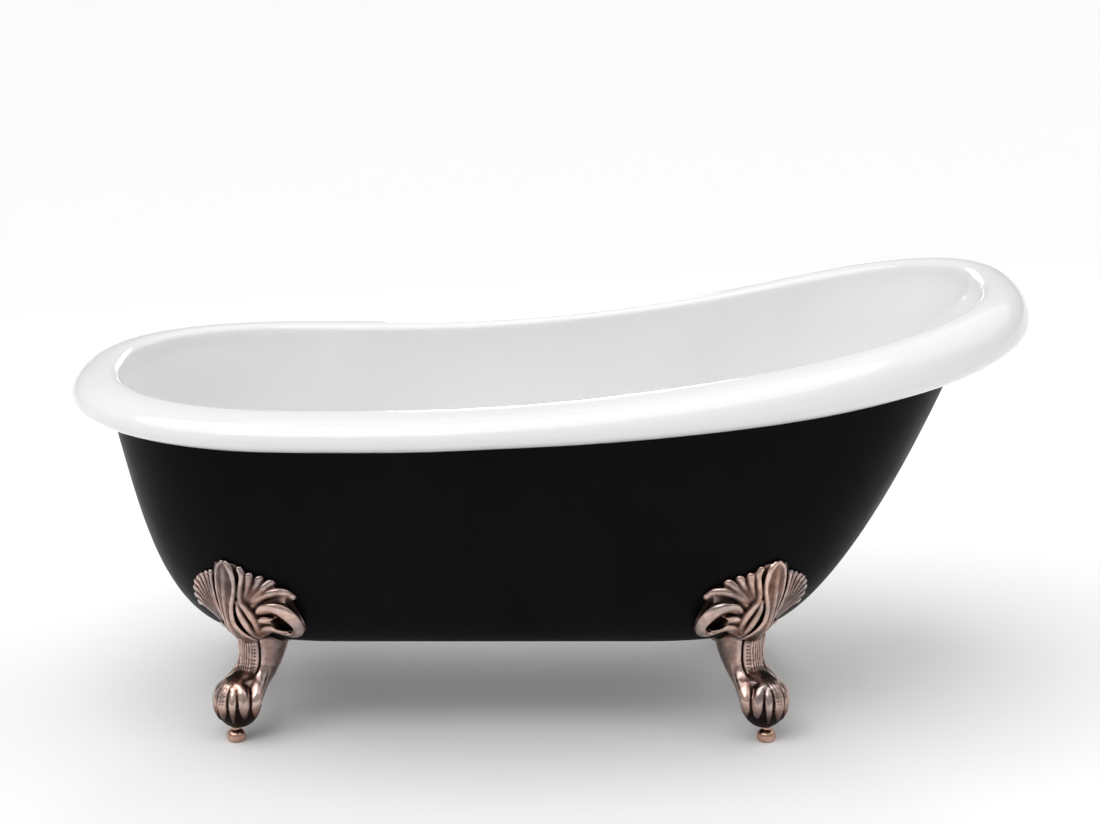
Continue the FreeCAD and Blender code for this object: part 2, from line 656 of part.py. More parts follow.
def leaf_block(foot):
    """Solid behind the leaf's carved face, through the wall of the belly."""
    half_width = SHIELD_OUTLINE_REACH
    columns = round(2 * half_width / LEAF_STEP)
    low, high = SHIELD_OUTLINE[-1][1] - LEAF_STEP, SHIELD_OUTLINE[0][1] + LEAF_STEP
    rows = round((high - low) / LEAF_STEP)
    grid = []
    for i in range(columns + 1):
        across = -half_width + 2 * half_width * i / columns
        column = []
        for j in range(rows + 1):
            height = low + (high - low) * j / rows
            column.append(in_front_of_belly(foot, across, height, leaf_height(foot, across, height)))
        grid.append(column)
    face = Part.BSplineSurface()
    face.interpolate(grid)
    return face.toShape().extrude(V(0, SHIELD_REACH_OUT + SHIELD_REACH_IN, 0))


def hollow(side):
    """Cutter for the hollow in the large scroll, on one side of a foot."""
    centre = V(side * HOLLOW_FROM_MIDDLE, -SHIELD_REACH_OUT, HOLLOW_HEIGHT)
    return Part.makeCylinder(HOLLOW_RADIUS, SHIELD_REACH_OUT + SHIELD_REACH_IN, centre, V(0, 1, 0))


def claw_foot(foot):
    """One casting: shield with its leaf, leg, ball, toes and the lug that goes under the bath."""
    body = foot.put(leaf_block(foot).common(shield_prism(foot)))
    body = body.fuse(foot.put(leg()))
    body = body.cut(belly(FOOT_GAP))
    body = body.cut(foot.put(hollow(foot.inner)).cut(belly(FOOT_GAP + HOLLOW_FLOOR)))
    body = body.fuse(foot.put(Part.makeSphere(BALL_RADIUS, V(0, BALL_SETBACK, BALL_BOTTOM + BALL_RADIUS))))
    for shape in toes() + [lug()]:
        body = body.fuse(foot.put(shape))
    body = body.cut(foot.put(upright(0, 0, 0, SPOT_FACE_RADIUS, NECK_TOP)))
    body = body.cut(foot.put(upright(0, 0, 0, SCREW_STUD_RADIUS + SCREW_PLAY, SCREW_TOP + SCREW_BORE_SPARE)))
    return largest(body.cut(bolt_holes(foot, LUG_UNDER, BELLY_HEIGHT)))


def lug():
    """Flat tongue that lies under the bath's belly."""
    start = LEG_SECTIONS[0][1]
    end = LUG_BOLT_REACH + LUG_MARGIN
    box = Part.makeBox(2 * LUG_HALF_WIDTH, end - start, LUG_THICKNESS,
                       V(-LUG_HALF_WIDTH, start, LUG_UNDER))
    corners = [e for e in box.Edges if abs(e.Length - LUG_THICKNESS) < NEAR and e.CenterOfMass.y > end - NEAR]
    return box.makeFillet(LUG_CORNER, corners)


def upright(x, y, z, radius, height):
    return Part.makeCylinder(radius, height, V(x, y, z))


def drill(x, y, radius, low, high):
    """Upright cutter for a hole right through what lies between two heights."""
    return upright(x, y, low - OVERRUN, radius, high - low + 2 * OVERRUN)


def round_edge(disc, top, radius):
    """Rounds the edge of an upright disc at its top height."""
    return disc.makeFillet(radius, [e for e in disc.Edges if e.Closed and abs(e.CenterOfMass.z - top) < NEAR])


def hexagon(flats, height, base):
    """Upright hexagonal prism on a base point."""
    corner = flats / math.sqrt(3)
    angles = [math.radians(60 * i) for i in range(7)]
    points = [base + V(corner * math.cos(a), corner * math.sin(a), 0) for a in angles]
    return Part.Face(Part.makePolygon(points)).extrude(V(0, 0, height))


def bolt_points(foot):
    """Axes of a foot's two bolts in the bath's frame."""
    return [foot.place.multVec(V(side * LUG_BOLT_HALF_SPACING, LUG_BOLT_REACH, 0)) for side in (-1, 1)]


def bolt_holes(foot, low, high):
    """Cutters for a foot's bolts, front and rear."""
    holes = [drill(p.x, p.y, BOLT_RADIUS + BOLT_HOLE_PLAY, low, high) for p in bolt_points(foot)]
    return Part.Compound(holes + [rear(h) for h in holes])


def foot_plate(foot):
    """Steel plate inside the bath that spreads the load of a foot's bolts."""
    plate = Part.makeBox(2 * PLATE_HALF_WIDTH, 2 * PLATE_HALF_DEPTH, PLATE_THICKNESS,
                         V(-PLATE_HALF_WIDTH, LUG_BOLT_REACH - PLATE_HALF_DEPTH, SHELL_FLOOR))
    return foot.put(plate).cut(bolt_holes(foot, SHELL_FLOOR, PLATE_TOP))


def all_bolts(make):
    """One thing at every foot bolt, front and rear."""
    things = []
    for foot in FEET:
        for p in bolt_points(foot):
            thing = make(p)
            things += [thing, rear(thing)]
    return Part.Compound(things)


def foot_bolt(p):
    end = NUT_UNDER - BOLT_SPARE
    shank = upright(p.x, p.y, end, BOLT_RADIUS, PLATE_TOP - end)
    return shank.fuse(hexagon(BOLT_FLATS, BOLT_HEAD_HEIGHT, V(p.x, p.y, PLATE_TOP)))


def foot_washer(p):
    disc = upright(p.x, p.y, WASHER_UNDER, WASHER_RADIUS, WASHER_THICKNESS)
    return disc.cut(drill(p.x, p.y, BOLT_RADIUS + BOLT_HOLE_PLAY, WASHER_UNDER, LUG_UNDER))


def foot_nut(p):
    nut = hexagon(BOLT_FLATS, BOLT_NUT_HEIGHT, V(p.x, p.y, NUT_UNDER))
    return nut.cut(drill(p.x, p.y, BOLT_RADIUS, NUT_UNDER, WASHER_UNDER))


def levelling_screw():
    """Disc foot, neck and stud, standing on the floor."""
    disc = upright(0, 0, 0, SCREW_DISC_RADIUS, SCREW_DISC_HEIGHT)
    disc = round_edge(disc, SCREW_DISC_HEIGHT, SCREW_DISC_ROUND)
    neck = upright(0, 0, 0, SCREW_NECK_RADIUS, NECK_TOP)
    stud = upright(0, 0, 0, SCREW_STUD_RADIUS, SCREW_TOP)
    return disc.fuse(neck).fuse(stud)


# ---------------------------------------------------------------- waste and plug
def at_waste(radius, low, high):
    """Upright cylinder on the waste's axis, between two heights."""
    return upright(WASTE_X, 0, low, radius, high - low)


def drilled_at_waste(radius, low, high):
    """Cutter for a hole on the waste's axis."""
    return drill(WASTE_X, 0, radius, low, high)


def waste_body():
    """Flange, threaded tail and the bridge that holds the plug's cartridge."""
    body = at_waste(WASTE_FLANGE_RADIUS, FLANGE_UNDER, FLANGE_TOP)
    body = round_edge(body, FLANGE_TOP, WASTE_FLANGE_THICKNESS / 2)
    body = body.fuse(at_waste(WASTE_THREAD_RADIUS, WASTE_END, FLANGE_UNDER))
    body = body.cut(drilled_at_waste(WASTE_BORE_RADIUS, WASTE_END, FLANGE_TOP))
    for i in range(WASTE_PORTS):
        port = Part.makeCylinder(WASTE_PORT_RADIUS, 2 * WASTE_THREAD_RADIUS, V(0, 0, 0), V(1, 0, 0))
        port.rotate(V(0, 0, 0), Z_AXIS, 360 * i / WASTE_PORTS)
        port.translate(V(WASTE_X, 0, HOSE_LEVEL - WASTE_PORT_DROP))
        body = body.cut(port)
    low = BRIDGE_TOP - BRIDGE_HEIGHT
    inside = at_waste(WASTE_BORE_RADIUS + OVERRUN, low, BRIDGE_TOP)
    span = 2 * (WASTE_BORE_RADIUS + OVERRUN)
    for along, across in ((span, BRIDGE_WIDTH), (BRIDGE_WIDTH, span)):
        bar = Part.makeBox(along, across, BRIDGE_HEIGHT, V(WASTE_X - along / 2, -across / 2, low))
        body = body.fuse(bar.common(inside))
    body = body.fuse(at_waste(CARTRIDGE_RADIUS, low, BRIDGE_TOP))
    return body.cut(drilled_at_waste(CARTRIDGE_STUB_RADIUS, low, BRIDGE_TOP))


def washer(radius, bore, low, high):
    return at_waste(radius, low, high).cut(drilled_at_waste(bore, low, high))


def waste_flange_seal():
    return washer(FLANGE_SEAL_RADIUS, WASTE_THREAD_RADIUS, LINER_FLOOR, FLANGE_UNDER)


def waste_under_seal():
    return washer(UNDER_SEAL_RADIUS, WASTE_THREAD_RADIUS, BANJO_TOP, LINER_UNDER)


def overflow_banjo():
    """Ring-shaped chamber round the waste's tail, with a spigot for the overflow hose."""
    body = at_waste(BANJO_RADIUS, BANJO_UNDER, BANJO_TOP)
    reach = BANJO_RADIUS + SPIGOT_LENGTH
    centre = V(WASTE_X, 0, HOSE_LEVEL)
    body = body.fuse(Part.makeCylinder(SPIGOT_RADIUS, reach, centre, V(0, -1, 0)))
    body = body.cut(Part.makeCylinder(SPIGOT_BORE, reach + OVERRUN, centre, V(0, -1, 0)))
    body = body.cut(at_waste(BANJO_RADIUS - BANJO_WALL, BANJO_UNDER + BANJO_WALL, BANJO_TOP - BANJO_WALL))
    return body.cut(drilled_at_waste(WASTE_THREAD_RADIUS + BANJO_PLAY, BANJO_UNDER, BANJO_TOP))


def waste_backnut():
    nut = hexagon(BACKNUT_FLATS, BACKNUT_HEIGHT, V(WASTE_X, 0, BACKNUT_UNDER))
    return nut.cut(drilled_at_waste(WASTE_THREAD_RADIUS, BACKNUT_UNDER, BANJO_UNDER))


def plug_cartridge():
    """Click mechanism, screwed into the bridge."""
    top = BRIDGE_TOP + CARTRIDGE_HEIGHT
    body = at_waste(CARTRIDGE_RADIUS, BRIDGE_TOP, top)
    body = body.fuse(at_waste(CARTRIDGE_STUB_RADIUS, BRIDGE_TOP - BRIDGE_HEIGHT, BRIDGE_TOP))
    return body.cut(at_waste(STEM_RADIUS + STEM_PLAY, BRIDGE_TOP + CARTRIDGE_FLOOR, top + OVERRUN))


def waste_plug():
    """Domed cap and its stem, closed."""
    crown = (PLUG_RADIUS ** 2 + PLUG_DOME ** 2) / (2 * PLUG_DOME)
    top = PLUG_UNDER + PLUG_EDGE + PLUG_DOME
    dome = Part.makeSphere(crown, V(WASTE_X, 0, top - crown))
    stem = at_waste(STEM_RADIUS, BRIDGE_TOP + CARTRIDGE_FLOOR + STEM_END_GAP, PLUG_UNDER)
    return at_waste(PLUG_RADIUS, PLUG_UNDER, top).common(dome).fuse(stem)


def plug_seal():
    return washer(PLUG_SEAL_RADIUS, PLUG_SEAL_BORE, PLUG_UNDER - PLUG_SEAL_THICKNESS, PLUG_UNDER)


# ---------------------------------------------------------------- overflow
def overflow_frame():
    """Placement on the liner's front wall.  Its +Z points into the bath, square to the wall, and its +Y up
    the wall."""
    def wall_y(z):
        top = rim_height(WASTE_X) - LIP_DROP
        t = (top - z) / (top - LINER_FLOOR)
        return -WIDTH / 2 + wall_inset(LIP_INSET, LINER_RUNS["side"], t)

    lean = wall_y(OVERFLOW_HEIGHT + SLOPE_STEP) - wall_y(OVERFLOW_HEIGHT - SLOPE_STEP)
    up = V(0, lean, 2 * SLOPE_STEP).normalize()
    inward = V(0, up.z, -up.y)
    origin = V(WASTE_X, wall_y(OVERFLOW_HEIGHT), OVERFLOW_HEIGHT)
    return FreeCAD.Placement(origin, FreeCAD.Rotation(up.cross(inward), up, inward, "ZXY"))


OVERFLOW = overflow_frame()


def overflow_place(shape):
    """A copy of shape, moved from the overflow's frame to the bath's."""
    moved = shape.copy()
    moved.Placement = OVERFLOW.multiply(moved.Placement)
    return moved


def turned(radius, low, high):
    """Cylinder on the overflow's own axis."""
    return Part.makeCylinder(radius, high - low, V(0, 0, low))


def overflow_seal(bath_liner):
    """Rubber ring, pressed to the curve of the liner's back."""
    blank = turned(ELBOW_RADIUS, ELBOW_FRONT, BOSS_JOINT)
    blank = blank.cut(turned(OVERFLOW_HOLE_RADIUS, ELBOW_FRONT - OVERRUN, OVERRUN))
    return largest(overflow_place(blank).cut(bath_liner))


def overflow_elbow():
    """Cup behind the liner, with a boss for the cover's screw and a spigot down the wall."""
    body = turned(ELBOW_RADIUS, ELBOW_BACK, ELBOW_FRONT)
    reach = ELBOW_RADIUS + SPIGOT_LENGTH
    centre = V(0, 0, -SPIGOT_BACK)
    body = body.fuse(Part.makeCylinder(SPIGOT_RADIUS, reach, centre, V(0, -1, 0)))
    body = body.cut(Part.makeCylinder(SPIGOT_BORE, reach + OVERRUN, centre, V(0, -1, 0)))
    body = body.cut(turned(ELBOW_RADIUS - ELBOW_WALL, ELBOW_BACK + ELBOW_WALL, ELBOW_FRONT + OVERRUN))
    body = body.fuse(turned(ELBOW_BOSS_RADIUS, ELBOW_BACK, BOSS_JOINT))
    return overflow_place(body.cut(turned(COVER_SCREW_RADIUS, ELBOW_BACK + ELBOW_WALL, 0)))


def overflow_cover(bath_liner):
    """Domed cap that hides the overflow's hole; the water goes in through slots at its lower edge."""
    body = turned(COVER_RADIUS, 0, COVER_DEPTH)
    body = round_edge(body, COVER_DEPTH, COVER_DEPTH / 2)
    body = body.cut(turned(COVER_RADIUS - COVER_WALL, -OVERRUN, COVER_DEPTH - COVER_WALL))
    for i in range(COVER_SLOTS):
        slot = Part.makeBox(COVER_SLOT_WIDTH, COVER_RADIUS, COVER_SLOT_DEPTH + OVERRUN,
                            V(-COVER_SLOT_WIDTH / 2, -COVER_RADIUS - COVER_WALL, -OVERRUN))
        slot.rotate(V(0, 0, 0), Z_AXIS, (i - (COVER_SLOTS - 1) / 2) * COVER_SLOT_STEP)
        body = body.cut(slot)
    body = body.fuse(turned(ELBOW_BOSS_RADIUS, BOSS_JOINT, COVER_DEPTH - COVER_WALL))
    body = body.cut(turned(COVER_SCREW_RADIUS, BOSS_JOINT - OVERRUN, COVER_DEPTH + OVERRUN))
    return largest(overflow_place(body).cut(bath_liner))


def overflow_screw():
    top = COVER_DEPTH + COVER_SCREW_HEAD_HEIGHT
    head = round_edge(turned(COVER_SCREW_HEAD, COVER_DEPTH, top), top, COVER_SCREW_HEAD_HEIGHT / 2)
    return overflow_place(head.fuse(turned(COVER_SCREW_RADIUS, ELBOW_BACK + ELBOW_WALL, COVER_DEPTH)))


def hose_route():
    """Middle line of the overflow hose: down the wall, one bend, then level to the waste."""
    start = OVERFLOW.multVec(V(0, -ELBOW_RADIUS - SPIGOT_SHOULDER, -SPIGOT_BACK))
    down = OVERFLOW.Rotation.multVec(V(0, -1, 0))
    corner = start + down * ((start.z - HOSE_LEVEL) / -down.z)
    end = V(WASTE_X, -BANJO_RADIUS - SPIGOT_SHOULDER, HOSE_LEVEL)
    level = (end - corner).normalize()
    turn = down.getAngle(level)
    tangent = HOSE_BEND * math.tan(turn / 2)
    bend_start = corner - down * tangent
    bend_end = corner + level * tangent
    bisector = (level - down).normalize()
    middle = corner + bisector * (HOSE_BEND / math.cos(turn / 2) - HOSE_BEND)
    return start, down, bend_start, middle, bend_end, end, level


def hose_rod(radius):
    """Solid rod along the hose's route."""
    start, down, bend_start, middle, bend_end, end, level = hose_route()
    path = Part.Wire([Part.makeLine(start, bend_start), Part.Arc(bend_start, middle, bend_end).toShape(),
                      Part.makeLine(bend_end, end)])
    return path.makePipeShell([Part.Wire(Part.Circle(start, down, radius).toShape())], True, False)


def overflow_hose():
    return hose_rod(HOSE_RADIUS).cut(hose_rod(SPIGOT_RADIUS))


def hose_clip(point, along):
    """Worm-drive band round the hose."""
    start = point - along * (CLIP_WIDTH / 2)
    band = Part.makeCylinder(HOSE_RADIUS + CLIP_THICKNESS, CLIP_WIDTH, start, along)
    side = V(1, 0, 0)
    across = along.cross(side)
    corner = point + side * (HOSE_RADIUS + CLIP_LUG) - across * CLIP_LUG
    housing = Part.makeCylinder(CLIP_LUG, 2 * CLIP_LUG, corner, across)
    hose = Part.makeCylinder(HOSE_RADIUS, 3 * CLIP_WIDTH, start - along * CLIP_WIDTH, along)
    return band.fuse(housing).cut(hose)


def hose_clips():
    start, down, _, _, _, end, level = hose_route()
    return Part.Compound([hose_clip(start + down * CLIP_FROM_END, down),
                          hose_clip(end - level * CLIP_FROM_END, level)])


# ---------------------------------------------------------------- all nodes
def main():
    os.makedirs("parts", exist_ok=True)
    bath_liner = liner()
    save(bath_liner, "bath_liner")
    save(outer_shell(), "outer_shell")
    save(seam_bond(), "seam_bond")
    save(base_board(), "base_board")
    for where, x in bearer_places().items():
        save(bearer(x), f"floor_bearer_{where}")
    for foot in FEET:
        casting = claw_foot(foot)
        plate = foot_plate(foot)
        screw = foot.put(levelling_screw())
        for side, turn_over in (("front", False), ("rear", True)):
            for shape, name in ((casting, "claw_foot"), (plate, "foot_plate"), (screw, "levelling_screw")):
                save(rear(shape) if turn_over else shape, f"{name}_{side}_{foot.name}")
    save(all_bolts(foot_bolt), "foot_bolts")
    save(all_bolts(foot_washer), "foot_washers")
    save(all_bolts(foot_nut), "foot_nuts")
    for make in (waste_body, waste_flange_seal, waste_under_seal, overflow_banjo, waste_backnut,
                 plug_cartridge, waste_plug, plug_seal, overflow_screw, overflow_elbow, overflow_hose,
                 hose_clips):
        save(make(), make.__name__)
    for make in (overflow_cover, overflow_seal):
        save(make(bath_liner), make.__name__)


if __name__ == "__main__":
    main()
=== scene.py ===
"""Looks of a slipper bath on four claw feet.

Metres, +Z up, in the same frame as the model: the origin is on the floor under the middle of the rim, +X
points to the high end and -Y to the camera.  The feet and the screws are worked in millimetres and scaled at
the end.
"""
import itertools
import math

import bpy
import numpy as np
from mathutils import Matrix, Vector


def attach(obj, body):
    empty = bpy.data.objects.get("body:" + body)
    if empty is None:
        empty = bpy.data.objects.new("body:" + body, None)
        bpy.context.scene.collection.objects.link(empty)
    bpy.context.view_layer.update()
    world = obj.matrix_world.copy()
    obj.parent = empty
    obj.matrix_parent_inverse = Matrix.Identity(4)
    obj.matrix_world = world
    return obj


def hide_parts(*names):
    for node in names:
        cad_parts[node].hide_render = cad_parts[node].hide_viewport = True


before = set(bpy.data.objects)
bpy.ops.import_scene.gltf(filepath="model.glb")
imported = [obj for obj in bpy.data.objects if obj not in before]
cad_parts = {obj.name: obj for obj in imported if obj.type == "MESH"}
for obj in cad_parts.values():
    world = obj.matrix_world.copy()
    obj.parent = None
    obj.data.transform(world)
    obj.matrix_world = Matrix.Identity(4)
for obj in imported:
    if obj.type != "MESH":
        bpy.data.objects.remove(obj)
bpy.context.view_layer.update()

# ---------------------------------------------------------------- camera and light
IMAGE_WIDTH = 1100
FOCAL_PIXELS = 2311.3
CAMERA_DISTANCE = 4.2
CAMERA_PITCH = math.radians(16.126)
CAMERA_X = 0.003
TARGET_Z = 0.534
SENSOR_WIDTH = 36.0

FLOOR_HALF = 40.0


def add_object(name, data):
    item = bpy.data.objects.new(name, data)
    bpy.context.scene.collection.objects.link(item)
    return item


def make_camera():
    camera = bpy.data.cameras.new("camera")
    camera.sensor_width = SENSOR_WIDTH
    camera.lens = FOCAL_PIXELS / IMAGE_WIDTH * SENSOR_WIDTH
    item = add_object("camera", camera)
    item.location = (CAMERA_X, -CAMERA_DISTANCE * math.cos(CAMERA_PITCH),
                     TARGET_Z + CAMERA_DISTANCE * math.sin(CAMERA_PITCH))
    item.rotation_euler = (math.pi / 2 - CAMERA_PITCH, 0, 0)
    bpy.context.scene.camera = item


def aim(item, location, target):
    item.location = location
    item.rotation_euler = (Vector(target) - Vector(location)).to_track_quat("-Z", "Y").to_euler()


def soft_box(name, location, target, size, power):
    light = bpy.data.lights.new(name, "AREA")
    light.shape = "RECTANGLE"
    light.size, light.size_y = size
    light.energy = power
    item = add_object(name, light)
    item.visible_camera = False
    aim(item, location, target)


def sky(name, location, strength, spread):
    """Even light from one side, as soft as its spread in degrees."""
    light = bpy.data.lights.new(name, "SUN")
    light.energy = strength
    light.angle = math.radians(spread)
    aim(add_object(name, light), location, (0, 0, 0))


def make_world(strength):
    world = bpy.data.worlds.new("studio")
    world.use_nodes = True
    background = world.node_tree.nodes["Background"]
    background.inputs["Color"].default_value = (1, 1, 1, 1)
    background.inputs["Strength"].default_value = strength
    bpy.context.scene.world = world


def make_stage():
    mesh = bpy.data.meshes.new("floor")
    corners = [(x * FLOOR_HALF, y * FLOOR_HALF, 0) for x, y in ((-1, -1), (1, -1), (1, 1), (-1, 1))]
    mesh.from_pydata(corners, [], [(0, 1, 2, 3)])
    floor = add_object("floor", mesh)
    material = bpy.data.materials.new("floor")
    material.use_nodes = True
    shader = material.node_tree.nodes["Principled BSDF"]
    shader.inputs["Base Color"].default_value = (0.95, 0.95, 0.95, 1)
    shader.inputs["Roughness"].default_value = 0.6
    mesh.materials.append(material)


make_camera()
make_world(0.46)
sky("key", (-1.6, -1.2, 4.0), 1.45, 60)
sky("fill", (1.8, 0.6, 3.6), 0.75, 80)
soft_box("window", (-0.9, -1.9, 2.6), (0.3, 0, 0.6), (1.2, 0.7), 6)
soft_box("back", (-0.15, 3.0, 1.45), (0.6, 0, 0.7), (0.7, 0.9), 14)
make_stage()
bpy.context.scene.view_settings.view_transform = "Standard"


# ---------------------------------------------------------------- the outer shell, in millimetres
LENGTH, WIDTH = 1700.0, 750.0
BELLY_HEIGHT = 170.0                      # floor to the underside of the shell
RIM_LOW = 625.0                           # floor to rim crest where the rim runs level
RIM_SLOPE = 0.235                         # rise per mm of the straight climb to the high end
CLIMB_START, CLIMB_FULL = -300.0, 480.0   # x where the climb begins, and where it has its full slope
LOW_LIFT, LOW_LIFT_START = 12.0, -400.0   # rise of the rim at the low end, and x where it begins
ROLL_DEPTH, ROLL_GAIN = 66.0, 52.0        # crest to underside at the low end, and what the high end adds
ROLL_GROWTH_START, ROLL_GROWTH_POWER = -100.0, 1.3
SEAM_LAP = 14.0                           # how far the shell runs up inside the roll
# for each part of the wall: inset at the top, straight run, corner at the bottom and its fullness
WALLS = {"low": (63.0, 88.0, 100.0, 4.0), "side": (56.0, 30.0, 90.0, 4.0), "high": (115.0, 215.0, 105.0, 2.4)}
PLAN_POWER = 2.4                          # 2 rounds the ends as an ellipse, more is boxier
END_RATIO = 1.2                           # length of a rounded end against the half width


def rim_height(x):
    arc = np.clip(x, CLIMB_START, CLIMB_FULL) - CLIMB_START
    lift = np.maximum(0.0, LOW_LIFT_START - x) / (LENGTH / 2 + LOW_LIFT_START)
    climb = RIM_SLOPE * arc * arc / (2 * (CLIMB_FULL - CLIMB_START))
    return RIM_LOW + climb + RIM_SLOPE * np.maximum(0.0, x - CLIMB_FULL) + LOW_LIFT * lift * lift


def roll_depth(x):
    share = (x - ROLL_GROWTH_START) / (LENGTH / 2 - ROLL_GROWTH_START)
    return ROLL_DEPTH + ROLL_GAIN * np.clip(share, 0.0, 1.0) ** ROLL_GROWTH_POWER


def wall_inset(where, t):
    """Inset of the wall at a share t of the way down it."""
    top, straight, corner, fullness = WALLS[where]
    return top + straight * t + corner * (1 - np.sqrt(np.maximum(0.0, 1 - t ** fullness)))


def belly_field(x, y, z):
    """Roughly the distance outside the outer shell's face."""
    top = rim_height(x) - roll_depth(x) + SEAM_LAP
    t = np.clip((top - z) / (top - BELLY_HEIGHT), 0, 1)
    low, side, high = (wall_inset(where, t) for where in ("low", "side", "high"))
    half = WIDTH / 2 - side
    end = END_RATIO * half
    over = np.maximum(np.maximum(x - (LENGTH / 2 - high - end), (-LENGTH / 2 + low + end) - x), 0) / end
    ring = ((over ** PLAN_POWER + (np.abs(y) / half) ** PLAN_POWER) ** (1 / PLAN_POWER) - 1) * half
    return np.maximum(ring, BELLY_HEIGHT - z)


# ---------------------------------------------------------------- tools for sculpting
def spline(points, per_span=6):
    """Catmull-Rom points through rows of numbers."""
    p = np.asarray(points, float)
    p = np.vstack([2 * p[0] - p[1], p, 2 * p[-1] - p[-2]])
    rows = []
    for i in range(1, len(p) - 2):
        t = np.arange(per_span)[:, None] / per_span
        a, b, c, d = p[i - 1], p[i], p[i + 1], p[i + 2]
        square, cube = 2 * a - 5 * b + 4 * c - d, 3 * b - a - 3 * c + d
        rows.append(0.5 * (2 * b + (c - a) * t + square * t ** 2 + cube * t ** 3))
    rows.append(p[-2][None])
    return np.vstack(rows)


def smooth_min(a, b, k):
    h = np.clip(0.5 + 0.5 * (b - a) / k, 0, 1)
    return b + (a - b) * h - k * h * (1 - h)


def smooth_max(a, b, k):
    return -smooth_min(-a, -b, k)


def between(value, low, high):
    return (value > low) & (value < high)


def tube_field(x, y, z, points):
    """Distance to a round string through points (x, y, z, radius)."""
    path = spline(points)
    best = np.full(x.shape, 1e3, np.float32)
    for p, q in zip(path, path[1:]):
        d = q[:3] - p[:3]
        square = max(float(d @ d), 1e-9)
        t = np.clip(((x - p[0]) * d[0] + (y - p[1]) * d[1] + (z - p[2]) * d[2]) / square, 0, 1)
        radius = p[3] + (q[3] - p[3]) * t
        gap = np.sqrt((x - p[0] - t * d[0]) ** 2 + (y - p[1] - t * d[1]) ** 2 + (z - p[2] - t * d[2]) ** 2)
        best = np.minimum(best, gap - radius)
    return best


def box_near(points, x, y, z, pad):
    """Which places are within the box round a string, widened by pad."""
    p = np.asarray(points, float)
    low = (p[:, :3] - p[:, 3:]).min(0) - pad
    high = (p[:, :3] + p[:, 3:]).max(0) + pad
    return between(x, low[0], high[0]) & between(y, low[1], high[1]) & between(z, low[2], high[2])


def polygon_field(x, y, corners):
    """Signed distance to a closed polygon, inside negative."""
    p = np.asarray(corners, float)
    best = np.full(x.shape, 1e9)
    odd = np.zeros(x.shape, bool)
    for (x0, y0), (x1, y1) in zip(p, np.roll(p, -1, 0)):
        dx, dy = x1 - x0, y1 - y0
        t = np.clip(((x - x0) * dx + (y - y0) * dy) / (dx * dx + dy * dy), 0, 1)
        best = np.minimum(best, (x - x0 - t * dx) ** 2 + (y - y0 - t * dy) ** 2)
        if y0 != y1:
            odd ^= ((y0 > y) != (y1 > y)) & (x < x0 + (y - y0) / (y1 - y0) * dx)
    return np.where(odd, -1, 1) * np.sqrt(best)


def sampled(table, across, height):
    """Value between the cells of a map of one cell per mm, at fractions of a cell."""
    i0, j0 = across.astype(int), height.astype(int)
    i1, j1 = np.minimum(i0 + 1, table.shape[0] - 1), np.minimum(j0 + 1, table.shape[1] - 1)
    fa, fz = across - i0, height - j0
    low = table[i0, j0] * (1 - fa) + table[i1, j0] * fa
    high = table[i0, j1] * (1 - fa) + table[i1, j1] * fa
    return low * (1 - fz) + high * fz


def net_points(field, cells):
    """One point in each cell that the zero level runs through, in cells from the grid's low corner."""
    nx, ny, nz = field.shape
    where = np.argwhere(cells)
    total = np.zeros((len(where), 3))
    count = np.zeros(len(where))

    def at_corner(c):
        return field[c[0]:nx - 1 + c[0], c[1]:ny - 1 + c[1], c[2]:nz - 1 + c[2]][cells]

    for corner in itertools.product((0, 1), repeat=3):
        for axis in range(3):
            if corner[axis]:
                continue
            far = list(corner)
            far[axis] = 1
            va, vb = at_corner(corner), at_corner(far)
            cross = (va < 0) != (vb < 0)
            t = np.where(cross, va / np.where(cross, va - vb, 1), 0)
            p = np.tile(np.array(corner, float), (len(where), 1))
            p[:, axis] += t
            total[cross] += p[cross]
            count[cross] += 1
    return where + total / count[:, None]


def net_faces(inside, index):
    """Quads round each grid edge that goes through the surface."""
    faces = []
    for axis in range(3):
        b, c = (axis + 1) % 3, (axis + 2) % 3
        low = [slice(None)] * 3
        high = [slice(None)] * 3
        low[axis], high[axis] = slice(0, -1), slice(1, None)
        a_in, b_in = inside[tuple(low)], inside[tuple(high)]
        for flip, mask in ((False, a_in & ~b_in), (True, ~a_in & b_in)):
            pos = np.argwhere(mask)
            pos = pos[between(pos[:, b], 0, inside.shape[b] - 1) & between(pos[:, c], 0, inside.shape[c] - 1)]
            quad = []
            for db, dc in ((1, 1), (0, 1), (0, 0), (1, 0)):
                q = pos.copy()
                q[:, b] -= db
                q[:, c] -= dc
                quad.append(index[q[:, 0], q[:, 1], q[:, 2]])
            quad = np.stack(quad, 1)
            faces.append(quad[:, ::-1] if flip else quad)
    return np.vstack(faces)


def surface_net(field, axes):
    """Closed quad mesh of the zero level of a field that is positive all round its edge."""
    inside = field < 0
    nx, ny, nz = field.shape
    any_in = np.zeros((nx - 1, ny - 1, nz - 1), bool)
    all_in = np.ones_like(any_in)
    for i, j, k in itertools.product((0, 1), repeat=3):
        corner = inside[i:nx - 1 + i, j:ny - 1 + j, k:nz - 1 + k]
        any_in |= corner
        all_in &= corner
    cells = any_in & ~all_in
    index = np.full(cells.shape, -1, np.int64)
    index[cells] = np.arange(np.count_nonzero(cells))
    step = np.array([a[1] - a[0] for a in axes])
    verts = np.array([a[0] for a in axes]) + net_points(field, cells) * step
    return verts, net_faces(inside, index)


